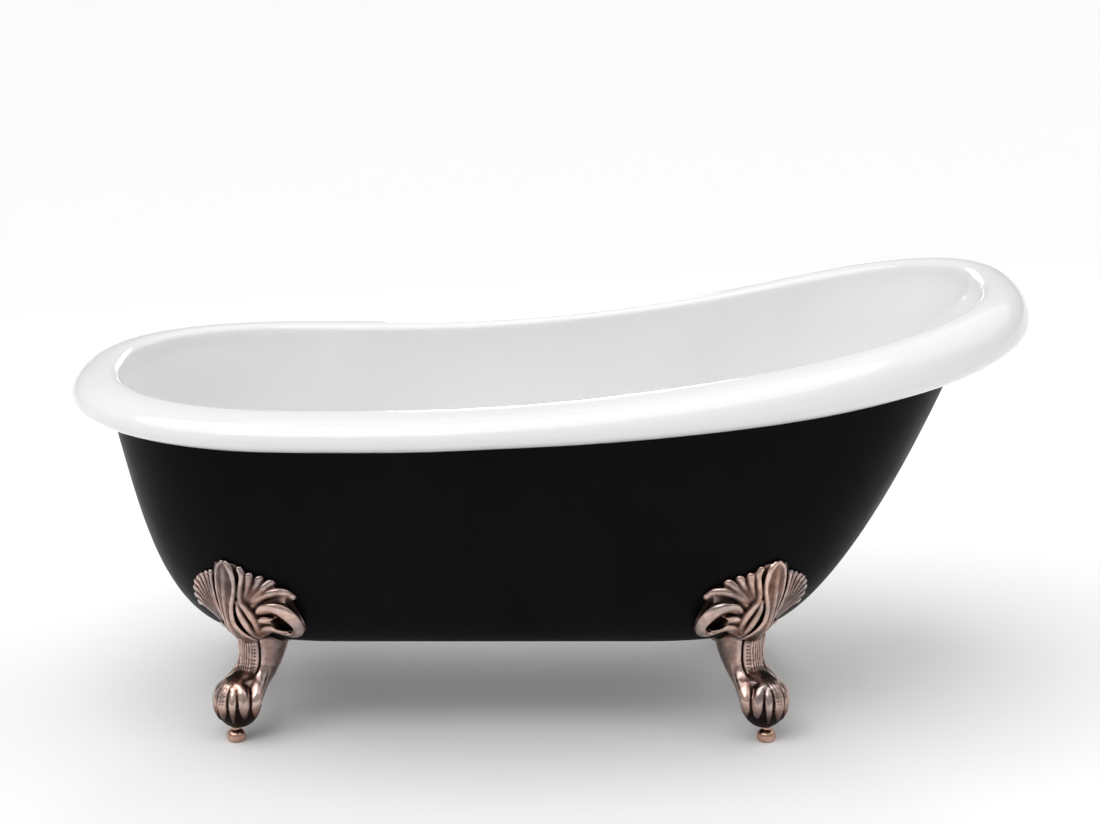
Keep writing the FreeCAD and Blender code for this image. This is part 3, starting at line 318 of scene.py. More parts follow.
# ---------------------------------------------------------------- measures of a foot, in millimetres
# middle of each foot along the bath, and the turn of its shield round it
FOOT_PLACES = {"low": (-LENGTH / 2 + 296.0, -35.0), "high": (LENGTH / 2 - 463.0, 35.0)}
FOOT_Y = -WIDTH / 2 + 125.0
SIDES = (("front", 1.0), ("rear", -1.0))
FOOT_STEP = 1.6
GRID_LOW, GRID_HIGH = np.array([-152.0, -72.0, 20.0]), np.array([152.0, 176.0, 356.0])
FACE_SEARCH = (-150.0, 250.0)             # the belly's face is looked for between these
FACE_LOWEST = 184.0                       # below this height the face is taken to go straight down
FAR_OFF = 60.0                            # the field where nothing is near
BELLY_GAP = 0.6                           # metal keeps this far from the shell
MM = 1000.0                               # in a metre
NARROWED_OVER = 30.0                      # the outer half is fully narrowed this far from the middle line
WIDENED_OVER = 40.0                       # and the inner half has its own width this far from it

# the shield's tip leans towards the bath's middle: by how much, from which height and over what rise
LEAN, LEAN_FROM, LEAN_OVER = 8.0, 200.0, 145.0
# widths of the two halves, and relief of the outer one, against the outlines and strings below
INNER_WIDTH, OUTER_WIDTH, OUTER_RELIEF = 0.9, 0.66, 0.55
# outlines of the half shield that faces the bath's middle, and of the other half: distance from the middle
# line, height
OUTLINE = [(0, 346), (10, 345), (23, 342), (30, 334), (37, 326), (47, 323), (56, 319), (64, 319), (74, 313),
           (84, 314), (94, 307), (105, 299), (116, 290), (119, 278), (123, 264), (125, 246), (126, 231),
           (126, 217), (121, 208), (110, 203), (94, 207), (76, 212), (60, 205), (46, 193), (30, 186),
           (0, 185)]
OUTER_OUTLINE = OUTLINE[:14] + [(127, 264), (128, 248), (119, 234), (98, 221), (76, 210), (58, 202),
                                (44, 192), (30, 186), (0, 185)]
# every string below is a list of rows: distance from the middle line, height, crest over the belly, radius
MIDDLE = [
    [(0, 336, 9, 10), (0, 322, 12, 16), (0, 302, 15, 18), (0, 284, 20, 17), (0, 266, 25, 12.5),
     (0, 246, 30, 9.5), (0, 226, 35, 11), (0, 208, 38, 18), (0, 197, 39, 22)],
    [(4, 343, 9, 5), (13, 334, 13, 5.5), (19, 320, 16, 5), (22, 302, 19, 4.6), (21, 285, 24, 4.4),
     (16, 265, 29, 4.2), (12.5, 245, 33, 4.2), (13, 227, 37, 4.4), (20, 211, 40, 5), (29, 199, 41, 5.5),
     (37, 192, 40, 5)],
]
LOBES = [
    [(30, 333, 10, 6.5), (37, 320, 14, 8), (36, 304, 18, 8.5), (33, 287, 22, 8.5), (34, 271, 26, 8.5),
     (42, 261, 30, 9), (51, 248, 33, 9.5), (57, 234, 35, 10), (57, 219, 35, 9.5), (52, 206, 36, 7.5)],
    [(49, 321, 12, 8), (51, 308, 17, 9), (49, 295, 20, 8.5), (44, 281, 22, 7), (40, 272, 22, 5)],
    [(67, 315, 12, 9.5), (65, 302, 18, 10), (58, 289, 21, 9.5), (50, 277, 23, 7.5), (45, 268, 22, 5)],
    [(85, 308, 13, 10), (79, 299, 20, 11), (69, 287, 24, 10.5), (58, 275, 25, 8), (50, 266, 23, 5)],
    [(116, 284, 13, 9), (105, 291, 19, 12), (90, 289, 24, 13), (75, 281, 27, 11.5), (62, 270, 27, 9),
     (53, 261, 25, 6)],
    [(60, 248, 26, 8), (70, 257, 31, 10), (83, 265, 36, 11.5), (98, 269, 40, 12.5), (113, 265, 42, 12.5),
     (124, 253, 42, 12), (129, 238, 40, 11), (127, 223, 36, 9.5), (119, 211, 31, 7.5), (107, 205, 27, 6),
     (95, 207, 24, 5)],
    [(62, 230, 31, 9), (72, 238, 34, 9.5), (83, 239, 33, 8.5), (90, 231, 30, 6.5), (93, 221, 28, 5.5),
     (99, 214, 26, 4.5)],
    [(56, 206, 34, 7), (66, 215, 35, 9), (77, 221, 34, 9), (87, 216, 30, 7), (95, 208, 26, 5)],
    [(27, 270, 26, 6), (28, 255, 30, 8), (31, 240, 33, 9.5), (36, 226, 36, 10), (41, 212, 38, 9.5),
     (45, 200, 38, 7.5)],
]
# ribs of the outer half fan out from low in the middle to these tips: distance from the middle line, height
RIB_TIPS = [(46, 322), (61, 318), (77, 312), (93, 304), (107, 293), (118, 279), (125, 262), (124, 246)]
RIBS = [[(33 + 2.5 * i, 214 - 1.5 * i, 28 - i, 3.5), (a * 0.5 + 17, z * 0.5 + 108, 25 - i, 5.0),
         (a * 0.82 + 4, z * 0.86 + 34, 19, 6.0), (a, z - 4, 13, 6.8)] for i, (a, z) in enumerate(RIB_TIPS)]
HEM = [[(0, 188, 40, 6), (16, 188, 39.5, 6), (31, 191, 38, 6), (45, 199, 35, 6), (57, 207, 32, 5.5)]]
MIDDLE_FOLD = [(12, 345, 12, 1.6), (22, 337, 14, 2.0), (29, 326, 16, 2.2), (29, 308, 19, 2.4),
               (27, 290, 23, 2.4), (24.5, 274, 26, 2.4), (22, 258, 29, 2.4), (20.5, 244, 33, 2.4),
               (23, 230, 37, 2.4), (31, 215, 39, 2.0)]
LOBE_FOLDS = [
    [(40, 258, 30, 2.2), (42, 246, 32, 2.6), (45, 233, 35, 2.8), (48, 220, 37, 2.4), (50, 208, 37, 2.0)],
    [(54, 271, 24, 1.6), (70, 277, 28, 2.2), (90, 279.5, 30, 2.6), (108, 280, 28, 2.4), (122, 276, 24, 1.8)],
    [(64, 246, 31, 2.2), (76, 250, 34, 2.6), (88, 248, 33, 2.6)],
]
STRING_REACH, FOLD_REACH = 12.0, 10.0     # how far round a string the field is worked
LOBE_BLEND, RIB_BLEND, MIDDLE_BLEND, HEM_BLEND = 1.8, 1.0, 1.2, 2.0
FOLD_LIFT, FOLD_BLEND = 1.5, 1.6
# the leaf is worked between these heights over the belly and over the floor, and out to this half width
LEAF_OVER_BELLY, LEAF_OVER_FLOOR, LEAF_HALF = (-22.0, 64.0), (172.0, 356.0), 148.0
LEAF_BACK = 14.0                          # how far the leaf runs behind the belly's face
SHEET_EDGE_IN = 1.0                       # the sheet's edge inside its outline
# the sheet's height at its edge, what it gains inwards, and over what distance
SHEET, SHEET_SWELL, SHEET_SWELL_OVER = 5.0, 3.0, 14.0
# metal beside a string: how far down its radius it starts, how fast it falls, and its reach in radii
SKIRT_LEVEL, SKIRT_FALL, SKIRT_REACH = 0.6, 0.32, 1.25
# hollow of the scroll: distance from the middle line, height, height over the belly where its bottom begins
# to round, radius; then how long it is for its height, and how much its bottom is flattened
CAVITY = (105.0, 231.0, 11.0, 16.5)
CAVITY_LENGTH, CAVITY_FLATNESS, CAVITY_BLEND = 1.25, 1.2, 2.0
# fine groove down each side of the middle leaf: distance from the middle line, width, depth, then its ends and
# their fade
VEIN_PLACE, VEIN_WIDTH, VEIN_DEPTH = 7.0, 1.6, 0.5
VEIN_FROM, VEIN_TO, VEIN_FADE = 216.0, 335.0, 20.0

# leg: height, its middle inwards, half width, half depth
LEG = [(250, 58, 44, 40), (236, 62, 46, 44), (210, 71, 44, 47), (186, 79, 41, 49), (165, 82, 39.5, 49.5),
       (145, 78, 37, 46.5), (125, 69, 35, 42), (105, 53, 34, 39), (90, 38, 32.5, 35), (76, 25, 31, 30),
       (60, 14, 28, 24)]
LEG_BOTTOM, LEG_TOP, LEG_BLEND = 58.0, 262.0, 4.0
# heights between which the leg's front is carved, each with its fade
CARVED_FROM, CARVED_FROM_FADE, CARVED_TO, CARVED_TO_FADE = 112.0, 10.0, 188.0, 6.0
# stripes of the panel: its half width and fade, their height, and their turn in radians per mm
PANEL_HALF, PANEL_FADE, STRIPE_HEIGHT, STRIPE_TURN = 14.5, 3.0, 0.6, 1.3
# bands down each side of the leg's panel: distance from its middle, half width
BEAD_BAND, GROOVE_BAND, RAIL_BAND = (16.8, 3.0), (22.8, 2.1), (30.0, 6.0)
BEAD_START, BEAD_PITCH, BEAD_DEPTH = 118.0, 6.4, 1.5
GROOVE_DEPTH, RAIL_HEIGHT = 4.0, 1.8

# the ball's middle, inwards and up, and its radius
BALL = (8.0, 63.0, 39.0)
BALL_BLEND = 0.8
# toes: turns from straight ahead in degrees, width against the middle toe, and how far they stand out
TOES = [((0.0,), 1.1, 0.5), ((28.0, -28.0), 0.72, 2.8), ((58.0, -58.0), 1.15, -2.0),
        ((-94.0, 94.0), 1.3, 0.0)]
# a toe and its claw: distance from the ball's middle, height, radius
TOE = [(15, 103, 12.5), (25, 97, 12), (31.5, 89, 11.5), (35.5, 81, 10.5), (36.5, 74, 10)]
CLAW = [(37.5, 71, 8.8), (37, 63, 7.2), (35.5, 55, 5.0), (33, 47, 3.0), (30.5, 42, 1.4)]
# the outermost toes run on from the calf: sideways, inwards, up, radius
CALF_TOE = [(19, 64, 130, 11), (24, 50, 116, 12.5), (29, 36, 103, 13.5), (33, 23, 92, 13.5), (36, 14, 82, 13),
            (36.5, 11, 74, 12)]
# where a toe leaves the leg: sideways, inwards, forwards of that, height and radius
TOE_ROOT = (20.0, 48.0, 20.0, 108.0, 9.0)
TOE_BLEND, CLAW_BLEND, TOE_REACH = 2.6, 1.0, 10.0
# carved part of the middle toe: half width, lowest and highest place
KNUCKLE_HALF, KNUCKLE_LOW, KNUCKLE_HIGH = 13.0, 66.0, 130.0
TOE_GROOVE, TOE_GROOVE_TURN = 0.6, 1.25   # depth, and radians per mm
CREASES, CREASE_DEPTH, CREASE_WIDTH = (88.0, 93.0, 98.0), 0.7, 1.1
# lump that joins the toes: half width, half depth, half height, its middle inwards and up
HEEL = (32.0, 34.0, 21.0, 28.0, 101.0)
HEEL_SCALE, HEEL_BLEND = 22.0, 7.0
PAW_BLEND = 9.0

# tongue under the bath: half width, middle height, half thickness, where it begins and ends inwards
TONGUE = (34.0, 164.6, 4.2, 60.0, 168.0)
SPOT_FACE_RADIUS, SPOT_FACE_HEIGHT = 12.0, 26.0
DENT_DEPTH = 0.12

# a map of one cell per mm over half the shield
MAP_HALF, MAP_LOW, MAP_HIGH = 150, 170, 358
MAP_ACROSS, MAP_HEIGHT = np.meshgrid(np.arange(0, MAP_HALF, 1.0), np.arange(MAP_LOW, MAP_HIGH, 1.0),
                                     indexing="ij")


# ---------------------------------------------------------------- sculpting a foot
def in_plan(where, u, s):
    """x and y of points given along a foot's shield and inwards from it."""
    place, turn = FOOT_PLACES[where]
    c, w = math.cos(math.radians(turn)), math.sin(math.radians(turn))
    return place + u * c - s * w, FOOT_Y + u * w + s * c


class Grid:
    """Voxels round one foot, in the foot's own frame: u along the shield, s inwards, z up."""

    def __init__(self, where):
        counts = np.ceil((GRID_HIGH - GRID_LOW) / FOOT_STEP).astype(int) + 1
        self.axes = [GRID_LOW[i] + FOOT_STEP * np.arange(counts[i]) for i in range(3)]
        u, s, z = np.meshgrid(*self.axes, indexing="ij")
        self.belly = belly_field(*in_plan(where, u, s), z).astype(np.float32)
        over_belly = (self.belly_face(where)[:, None, :] - s).astype(np.float32)
        self.u, self.s, self.z = (v.astype(np.float32) for v in (u, s, z))
        # inner is the side of the shield that faces the bath's middle
        inner = -1.0 if where == "high" else 1.0
        lean = inner * LEAN * np.clip((self.axes[2] - LEAN_FROM) / LEAN_OVER, 0, 1)
        self.side = (self.u - lean[None, None, :]) * inner
        # the other half is narrower and flatter
        self.outer = np.clip(-self.side / NARROWED_OVER, 0, 1)
        widened = np.clip(self.side / WIDENED_OVER, 0, 1)
        narrowing = 1 + (1 / OUTER_WIDTH - 1) * self.outer + (1 / INNER_WIDTH - 1) * widened
        self.across = (np.abs(self.side) * narrowing).astype(np.float32)
        self.height = (over_belly * (1 + (1 / OUTER_RELIEF - 1) * self.outer)).astype(np.float32)

    def belly_face(self, where):
        """s of the belly's face over the (u, z) grid, found by halving."""
        u, z = np.meshgrid(self.axes[0], np.maximum(self.axes[2], FACE_LOWEST), indexing="ij")
        low, high = (np.full_like(u, s) for s in FACE_SEARCH)
        for _ in range(24):
            middle = (low + high) / 2
            outside = belly_field(*in_plan(where, u, middle), z) > 0
            low, high = np.where(outside, middle, low), np.where(outside, high, middle)
        return (low + high) / 2


def skirts(strings):
    """Height of the metal beside each string, over the map."""
    relief = np.zeros(MAP_ACROSS.shape)
    for rows in strings:
        path = spline(rows)
        for p, q in zip(path, path[1:]):
            du, dz = q[0] - p[0], q[1] - p[1]
            square = max(du ** 2 + dz ** 2, 1e-9)
            t = np.clip(((MAP_ACROSS - p[0]) * du + (MAP_HEIGHT - p[1]) * dz) / square, 0, 1)
            gap = np.hypot(MAP_ACROSS - p[0] - t * du, MAP_HEIGHT - p[1] - t * dz)
            crest, radius = p[2] + t * (q[2] - p[2]), p[3] + t * (q[3] - p[3])
            fall = np.exp(-SKIRT_FALL * (gap / (SKIRT_REACH * radius)) ** 2)
            relief = np.maximum(relief, (crest - SKIRT_LEVEL * radius) * fall)
    return relief


def sheet_field(across, height, z, facing_in):
    """The leaf's sheet before strings are laid on it."""
    edges, reliefs = [], []
    for outline, strings in ((OUTLINE, LOBES), (OUTER_OUTLINE, RIBS)):
        corners = [(-1, outline[-1][1]), (-1, outline[0][1])] + outline[1:]
        edges.append(sampled(polygon_field(MAP_ACROSS, MAP_HEIGHT, corners), across, z - MAP_LOW))
        reliefs.append(sampled(skirts(strings + MIDDLE[:1] + HEM), across, z - MAP_LOW))
    edge = np.where(facing_in, edges[0], edges[1])
    relief = np.where(facing_in, reliefs[0], reliefs[1])
    ground = SHEET + SHEET_SWELL * np.clip(-edge / SHEET_SWELL_OVER, 0, 1)
    # the middle leaf stands up to its own edge string
    border = spline(MIDDLE[1])[::-1]
    half, crest = (np.interp(z, border[:, 1], border[:, i]) for i in (0, 2))
    ground = np.maximum(ground, np.where(across < half + 1.0, crest - 2.0, 0.0))
    return np.maximum(edge + SHEET_EDGE_IN, height - np.maximum(ground, relief))


def lay_strings(leaf, at, strings, blend, only=True):
    """Joins round strings to the leaf, in the voxels that only picks."""
    for rows in strings:
        points = [(across, crest - radius, z, radius) for across, z, crest, radius in rows]
        m = box_near(points, *at, STRING_REACH) & only
        leaf[m] = smooth_min(leaf[m], tube_field(*(v[m] for v in at), points), blend)


def cut_fold(leaf, at, rows, only=True):
    """Cuts a dark fold into the leaf."""
    points = [(across, crest + FOLD_LIFT, z, radius) for across, z, crest, radius in rows]
    m = box_near(points, *at, FOLD_REACH) & only
    leaf[m] = smooth_max(leaf[m], -tube_field(*(v[m] for v in at), points), FOLD_BLEND)


def leaf_field(g):
    """The shield's field, and the voxels it is worked in."""
    near = between(g.height, *LEAF_OVER_BELLY) & between(g.z, *LEAF_OVER_FLOOR) & (g.across < LEAF_HALF)
    across, height, z = g.across[near], g.height[near], g.z[near]
    at = (across, height, z)
    facing_in = g.side[near] >= 0
    leaf = sheet_field(across, height, z, facing_in)
    lay_strings(leaf, at, LOBES, LOBE_BLEND, facing_in)
    lay_strings(leaf, at, RIBS, RIB_BLEND, ~facing_in)
    lay_strings(leaf, at, MIDDLE, MIDDLE_BLEND)
    lay_strings(leaf, at, HEM, HEM_BLEND)
    cut_fold(leaf, at, MIDDLE_FOLD)
    for rows in LOBE_FOLDS:
        cut_fold(leaf, at, rows, facing_in)
    place, level, rounding, radius = CAVITY
    below = np.maximum(0, rounding - height) * CAVITY_FLATNESS
    cavity = np.sqrt(((across - place) / CAVITY_LENGTH) ** 2 + (z - level) ** 2 + below ** 2) - radius
    leaf = np.where(facing_in, smooth_max(leaf, -cavity, CAVITY_BLEND), leaf)
    vein = VEIN_DEPTH * np.exp(-((across - VEIN_PLACE) / VEIN_WIDTH) ** 2)
    leaf = leaf + vein * np.clip((z - VEIN_FROM) / VEIN_FADE, 0, 1) * np.clip((VEIN_TO - z) / VEIN_FADE, 0, 1)
    leaf = np.maximum(leaf, -height - LEAF_BACK)
    # the flattened half's field is steeper, so it is scaled back to a distance
    return near, leaf * (OUTER_RELIEF + (1 - OUTER_RELIEF) * (1 - g.outer[near]))


def leg_field(g):
    """Leg with a striated panel down its front, a line of beads on each side, a groove and a rail."""
    rows = np.array(LEG[::-1], float)
    middle, half, depth = (np.interp(g.axes[2], rows[:, 0], rows[:, i])[None, None, :] for i in (1, 2, 3))
    leg = (np.sqrt((g.u / half) ** 2 + ((g.s - middle) / depth) ** 2) - 1) * np.minimum(half, depth) * 0.9
    # the carving fades out round the sides, under the shield and over the toes
    front = np.clip((middle - g.s) / depth * 1.4, 0, 1)
    above = np.clip((g.z - CARVED_FROM) / CARVED_FROM_FADE, 0, 1)
    carved = front * (above * np.clip((CARVED_TO - g.z) / CARVED_TO_FADE, 0, 1))
    aside = np.abs(g.u)

    def band(place, width):
        return np.exp(-((aside - place) / width) ** 2)

    panel = np.clip((PANEL_HALF - aside) / PANEL_FADE, 0, 1)
    bead = (1 - np.abs(((g.z - BEAD_START) / BEAD_PITCH) % 1.0 - 0.5) * 2) ** 0.5
    leg -= carved * STRIPE_HEIGHT * panel * np.cos(g.u * STRIPE_TURN)
    leg += carved * BEAD_DEPTH * (1 - bead) * band(*BEAD_BAND)
    leg += carved * GROOVE_DEPTH * band(*GROOVE_BAND)
    leg -= carved * RAIL_HEIGHT * band(*RAIL_BAND)
    return np.maximum(leg, np.maximum(g.z - LEG_TOP, LEG_BOTTOM - g.z)).astype(np.float32)


def toe_strings(turned, width, out):
    """Strings of one toe and of its claw, at a turn in degrees from straight ahead."""
    ox, oy = math.sin(math.radians(turned)), -math.cos(math.radians(turned))
    toe, claw = ([(ox * (r + out), BALL[0] + oy * (r + out), up, radius * width) for r, up, radius in rows]
                 for rows in (TOE, CLAW))
    across, inwards, forwards, up, radius = TOE_ROOT
    if turned in TOES[-1][0]:
        return [(math.copysign(row[0], turned), *row[1:]) for row in CALF_TOE], claw
    return [(ox * across, inwards + oy * forwards, up, radius * width)] + toe, claw


def paw_field(g):
    """Toes and claws round the ball, joined by the heel behind them."""
    u, s, z = g.u, g.s, g.z
    paw = np.full(u.shape, 50.0, np.float32)
    for turns, width, out in TOES:
        for turned in turns:
            for points, blend in zip(toe_strings(turned, width, out), (TOE_BLEND, CLAW_BLEND)):
                b = box_near(points, u, s, z, TOE_REACH)
                paw[b] = smooth_min(paw[b], tube_field(u[b], s[b], z[b], points), blend)
    # fine grooves along the middle toe, and creases over its knuckle
    b = (s < 30) & (np.abs(u) < KNUCKLE_HALF) & between(z, KNUCKLE_LOW, KNUCKLE_HIGH)
    fade = np.clip((KNUCKLE_HALF - np.abs(u[b])) / 4, 0, 1)
    paw[b] += TOE_GROOVE * fade * np.cos(u[b] * TOE_GROOVE_TURN) * np.clip((z[b] - KNUCKLE_LOW) / 12, 0, 1)
    for level in CREASES:
        paw[b] += CREASE_DEPTH * fade * np.exp(-(((z[b] - level) - 0.3 * (s[b] + 20)) / CREASE_WIDTH) ** 2)
    half, depth, rise, inwards, up = HEEL
    heel = np.sqrt((u / half) ** 2 + ((s - inwards) / depth) ** 2 + ((z - up) / rise) ** 2)
    return smooth_min(paw, ((heel - 1) * HEEL_SCALE).astype(np.float32), HEEL_BLEND)


def tongue_field(g):
    """Flat tongue that the foot is bolted by."""
    half, level, thick, start, end = TONGUE
    flat = np.maximum(np.abs(g.u) - half, np.abs(g.z - level) - thick)
    return np.maximum(flat, np.maximum(start - g.s, g.s - end)).astype(np.float32)


def close_edges(field):
    """Makes the field positive all round the grid, so that the mesh is closed."""
    for axis in range(3):
        for end in (0, -1):
            face = [slice(None)] * 3
            face[axis] = end
            field[tuple(face)] = 5.0


def sculpt(g):
    """Signed distance to one foot, inside negative."""
    u, s, z = g.u, g.s, g.z
    field = np.full(u.shape, FAR_OFF, np.float32)
    near, leaf = leaf_field(g)
    field[near] = leaf
    field = smooth_min(field, leg_field(g), LEG_BLEND)
    field = smooth_min(field, paw_field(g), PAW_BLEND)
    ball = (np.sqrt(u ** 2 + (s - BALL[0]) ** 2 + (z - BALL[1]) ** 2) - BALL[2]).astype(np.float32)
    field = smooth_min(field, ball, BALL_BLEND)
    # the casting stops short of the shell
    field = smooth_max(field, (BELLY_GAP - g.belly).astype(np.float32), 0.01)
    field = np.minimum(field, tongue_field(g))
    # a flat face under the ball for the screw
    spot = np.maximum(np.sqrt(u ** 2 + s ** 2) - SPOT_FACE_RADIUS, z - SPOT_FACE_HEIGHT).astype(np.float32)
    field = np.maximum(field, -spot)
    # slow waves that stand for small dents
    dents = np.sin(u * 0.31 + 1.3 * np.sin(z * 0.17)) * np.sin(s * 0.27 + z * 0.21)
    field += DENT_DEPTH * dents
    close_edges(field)
    return field


def blur(x, n):
    """Box mean over 2n + 1 cells along each axis."""
    for axis in range(3):
        pad = [(0, 0)] * 3
        pad[axis] = (n + 1, n)
        c = np.cumsum(np.pad(x, pad, mode="edge"), axis=axis, dtype=np.float32)
        high = [slice(None)] * 3
        low = [slice(None)] * 3
        high[axis], low[axis] = slice(2 * n + 1, None), slice(0, -(2 * n + 1))
        x = (c[tuple(high)] - c[tuple(low)]) / (2 * n + 1)
    return x


FINE_REACH, WIDE_REACH = 2, 6             # in voxels
# heights between which the painted shade on the leg and the toes is held down, so that they show brighter,
# each with its fade, and the level it is held down to
SHADE_CAP_BOTTOM, SHADE_CAP_BOTTOM_FADE, SHADE_CAP_TOP, SHADE_CAP_TOP_FADE, SHADE_CAP_LEVEL = 50.0, 15.0, 188.0, 16.0, 0.4
PAINTED_SHADE_BELOW, PAINTED_SHADE_OVER = 78.0, 40.0        # painted shade: the foot darkens from this height down, over this drop
BALL_SKIN, BALL_TOP = 1.6, 100.0          # a vertex this near the ball's sphere, and this low, is on the ball
# least share, and the painted shade added low on the foot and on the ball
RECESS_LEAST, LOW_PAINTED_SHADE, BALL_PAINTED_SHADE = 0.42, 0.16, 0.16


def recesses(g, field, verts):
    """Share of metal round each vertex, near it and wider, as painted shade: about a half on a flat face, more
    in a recess.
    """
    solid = np.clip(0.5 - field / FOOT_STEP, 0, 1).astype(np.float32)
    # the shell counts as metal too, so the painted shade deepens where the foot comes near the bath
    solid = np.maximum(solid, (g.belly < BELLY_GAP).astype(np.float32))
    at = [np.clip((verts[:, i] - g.axes[i][0]) / FOOT_STEP, 0, len(g.axes[i]) - 1.001) for i in range(3)]
    low = [a.astype(int) for a in at]
    part = [a - b for a, b in zip(at, low)]
    found = []
    for reach in (FINE_REACH, WIDE_REACH):
        filled = blur(solid, reach)
        total = np.zeros(len(verts))
        for corner in itertools.product((0, 1), repeat=3):
            weight = np.ones(len(verts))
            for axis in range(3):
                weight *= part[axis] if corner[axis] else 1 - part[axis]
            total += weight * filled[low[0] + corner[0], low[1] + corner[1], low[2] + corner[2]]
        found.append(total)
    fine, wide = found
    u, s, z = verts.T
    # the painted shade is held down on the leg and the toes, so that they show brighter
    shade_held_down = np.clip((SHADE_CAP_TOP - z) / SHADE_CAP_TOP_FADE, 0, 1)
    shade_held_down *= np.clip((z - SHADE_CAP_BOTTOM) / SHADE_CAP_BOTTOM_FADE, 0, 1)
    wide = wide + shade_held_down * (np.minimum(wide, SHADE_CAP_LEVEL) - wide)
    # painted shade: darker towards the bottom of the foot, and on the ball
    lower = np.clip((PAINTED_SHADE_BELOW - z) / PAINTED_SHADE_OVER, 0, 1)
    from_ball = np.abs(np.sqrt(u ** 2 + (s - BALL[0]) ** 2 + (z - BALL[1]) ** 2) - BALL[2])
    on_ball = np.clip(BALL_SKIN - from_ball, 0, 1) * (z < BALL_TOP)
    return fine, np.maximum(wide, RECESS_LEAST + LOW_PAINTED_SHADE * lower + BALL_PAINTED_SHADE * on_ball)


def mesh_object(name, verts, faces):
    mesh = bpy.data.meshes.new(name)
    mesh.from_pydata(verts, [], faces)
    mesh.update()
    mesh.shade_smooth()
    return add_object(name, mesh)


def make_feet():
    for where in ("low", "high"):
        grid = Grid(where)
        field = sculpt(grid)
        points, quads = surface_net(field, grid.axes)
        fine, wide = recesses(grid, field, points)
        x, y = in_plan(where, points[:, 0], points[:, 1])
        for side, flip in SIDES:
            verts = np.stack([x, y * flip, points[:, 2]], 1) / MM
            faces = quads if flip > 0 else quads[:, ::-1]
            foot = mesh_object(f"cast_foot_{side}_{where}", verts.tolist(), faces.tolist())
            # the shares carry the painted shade that the copper's colour is drawn from
            for name, values in (("recess_shade_fine", fine), ("recess_shade_wide", wide)):
                layer = foot.data.attributes.new(name, "FLOAT", "POINT")
                layer.data.foreach_set("value", values.astype(np.float32))
            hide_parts(f"claw_foot_{side}_{where}")
            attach(foot, "bath")
            foot.data.materials.append(COPPER_CASTING)


# ---------------------------------------------------------------- levelling screws, in millimetres
# radius and height up the knob and the neck
SCREW_PROFILE = ((0, 0), (10.5, 0), (14.4, 1.4), (16.4, 4.2), (17, 8), (16.7, 12), (15, 16.2), (11.8, 19.4),
                 (8.6, 21.4), (7.5, 23), (7.5, 26))
SCREW_AROUND = 72                         # points round a ring
STUD_LOW, STUD_HIGH = 26.0, 68.0
STUD_RADIUS = 6.0
STUD_TURNS, RINGS_PER_TURN = 24, 6
THREAD_DEPTH = 0.7


def screw_rings():
    """Rings of (radius, height) up the knob and the neck, and then up the thread."""
    rings = [[(radius, height)] * SCREW_AROUND for radius, height in spline(SCREW_PROFILE, 4)]
    pitch = (STUD_HIGH - STUD_LOW) / STUD_TURNS
    steps = STUD_TURNS * RINGS_PER_TURN
    for i in range(steps + 1):
        height = STUD_LOW + (STUD_HIGH - STUD_LOW) * i / steps
        ring = []
        for j in range(SCREW_AROUND):
            phase = (height / pitch - j / SCREW_AROUND) % 1.0
            depth = THREAD_DEPTH * abs(2 * phase - 1) * min(1.0, (STUD_HIGH - height) / pitch + 0.3)
            ring.append((STUD_RADIUS - depth, height))
        rings.append(ring)
    return rings


def ring_faces(count, around):
    """Quads between rings that follow each other, and a cap on each end."""
    faces = []
    for i in range(count - 1):
        for j in range(around):
            k = (j + 1) % around
            faces.append((i * around + j, i * around + k, (i + 1) * around + k, (i + 1) * around + j))
    faces.append(tuple(reversed(range(around))))
    faces.append(tuple(range((count - 1) * around, count * around)))
    return faces


def make_levelling_screws():
    """Round knob, neck and threaded stud of each foot, turned from one profile."""
    rings = screw_rings()
    faces = ring_faces(len(rings), SCREW_AROUND)
    angles = 2 * math.pi * np.arange(SCREW_AROUND) / SCREW_AROUND
    for where in ("low", "high"):
        place = FOOT_PLACES[where][0]
        for side, flip in SIDES:
            verts = []
            for ring in rings:
                for (radius, height), angle in zip(ring, angles):
                    x, y = place + radius * math.cos(angle), FOOT_Y * flip + radius * math.sin(angle)
                    verts.append((x / MM, y / MM, max(height, 0.0) / MM))
            screw = mesh_object(f"turned_screw_{side}_{where}", verts, faces)
            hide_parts(f"levelling_screw_{side}_{where}")
            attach(screw, f"screw_{side}_{where}")
            screw.data.materials.append(FINISHES["bright_copper"])


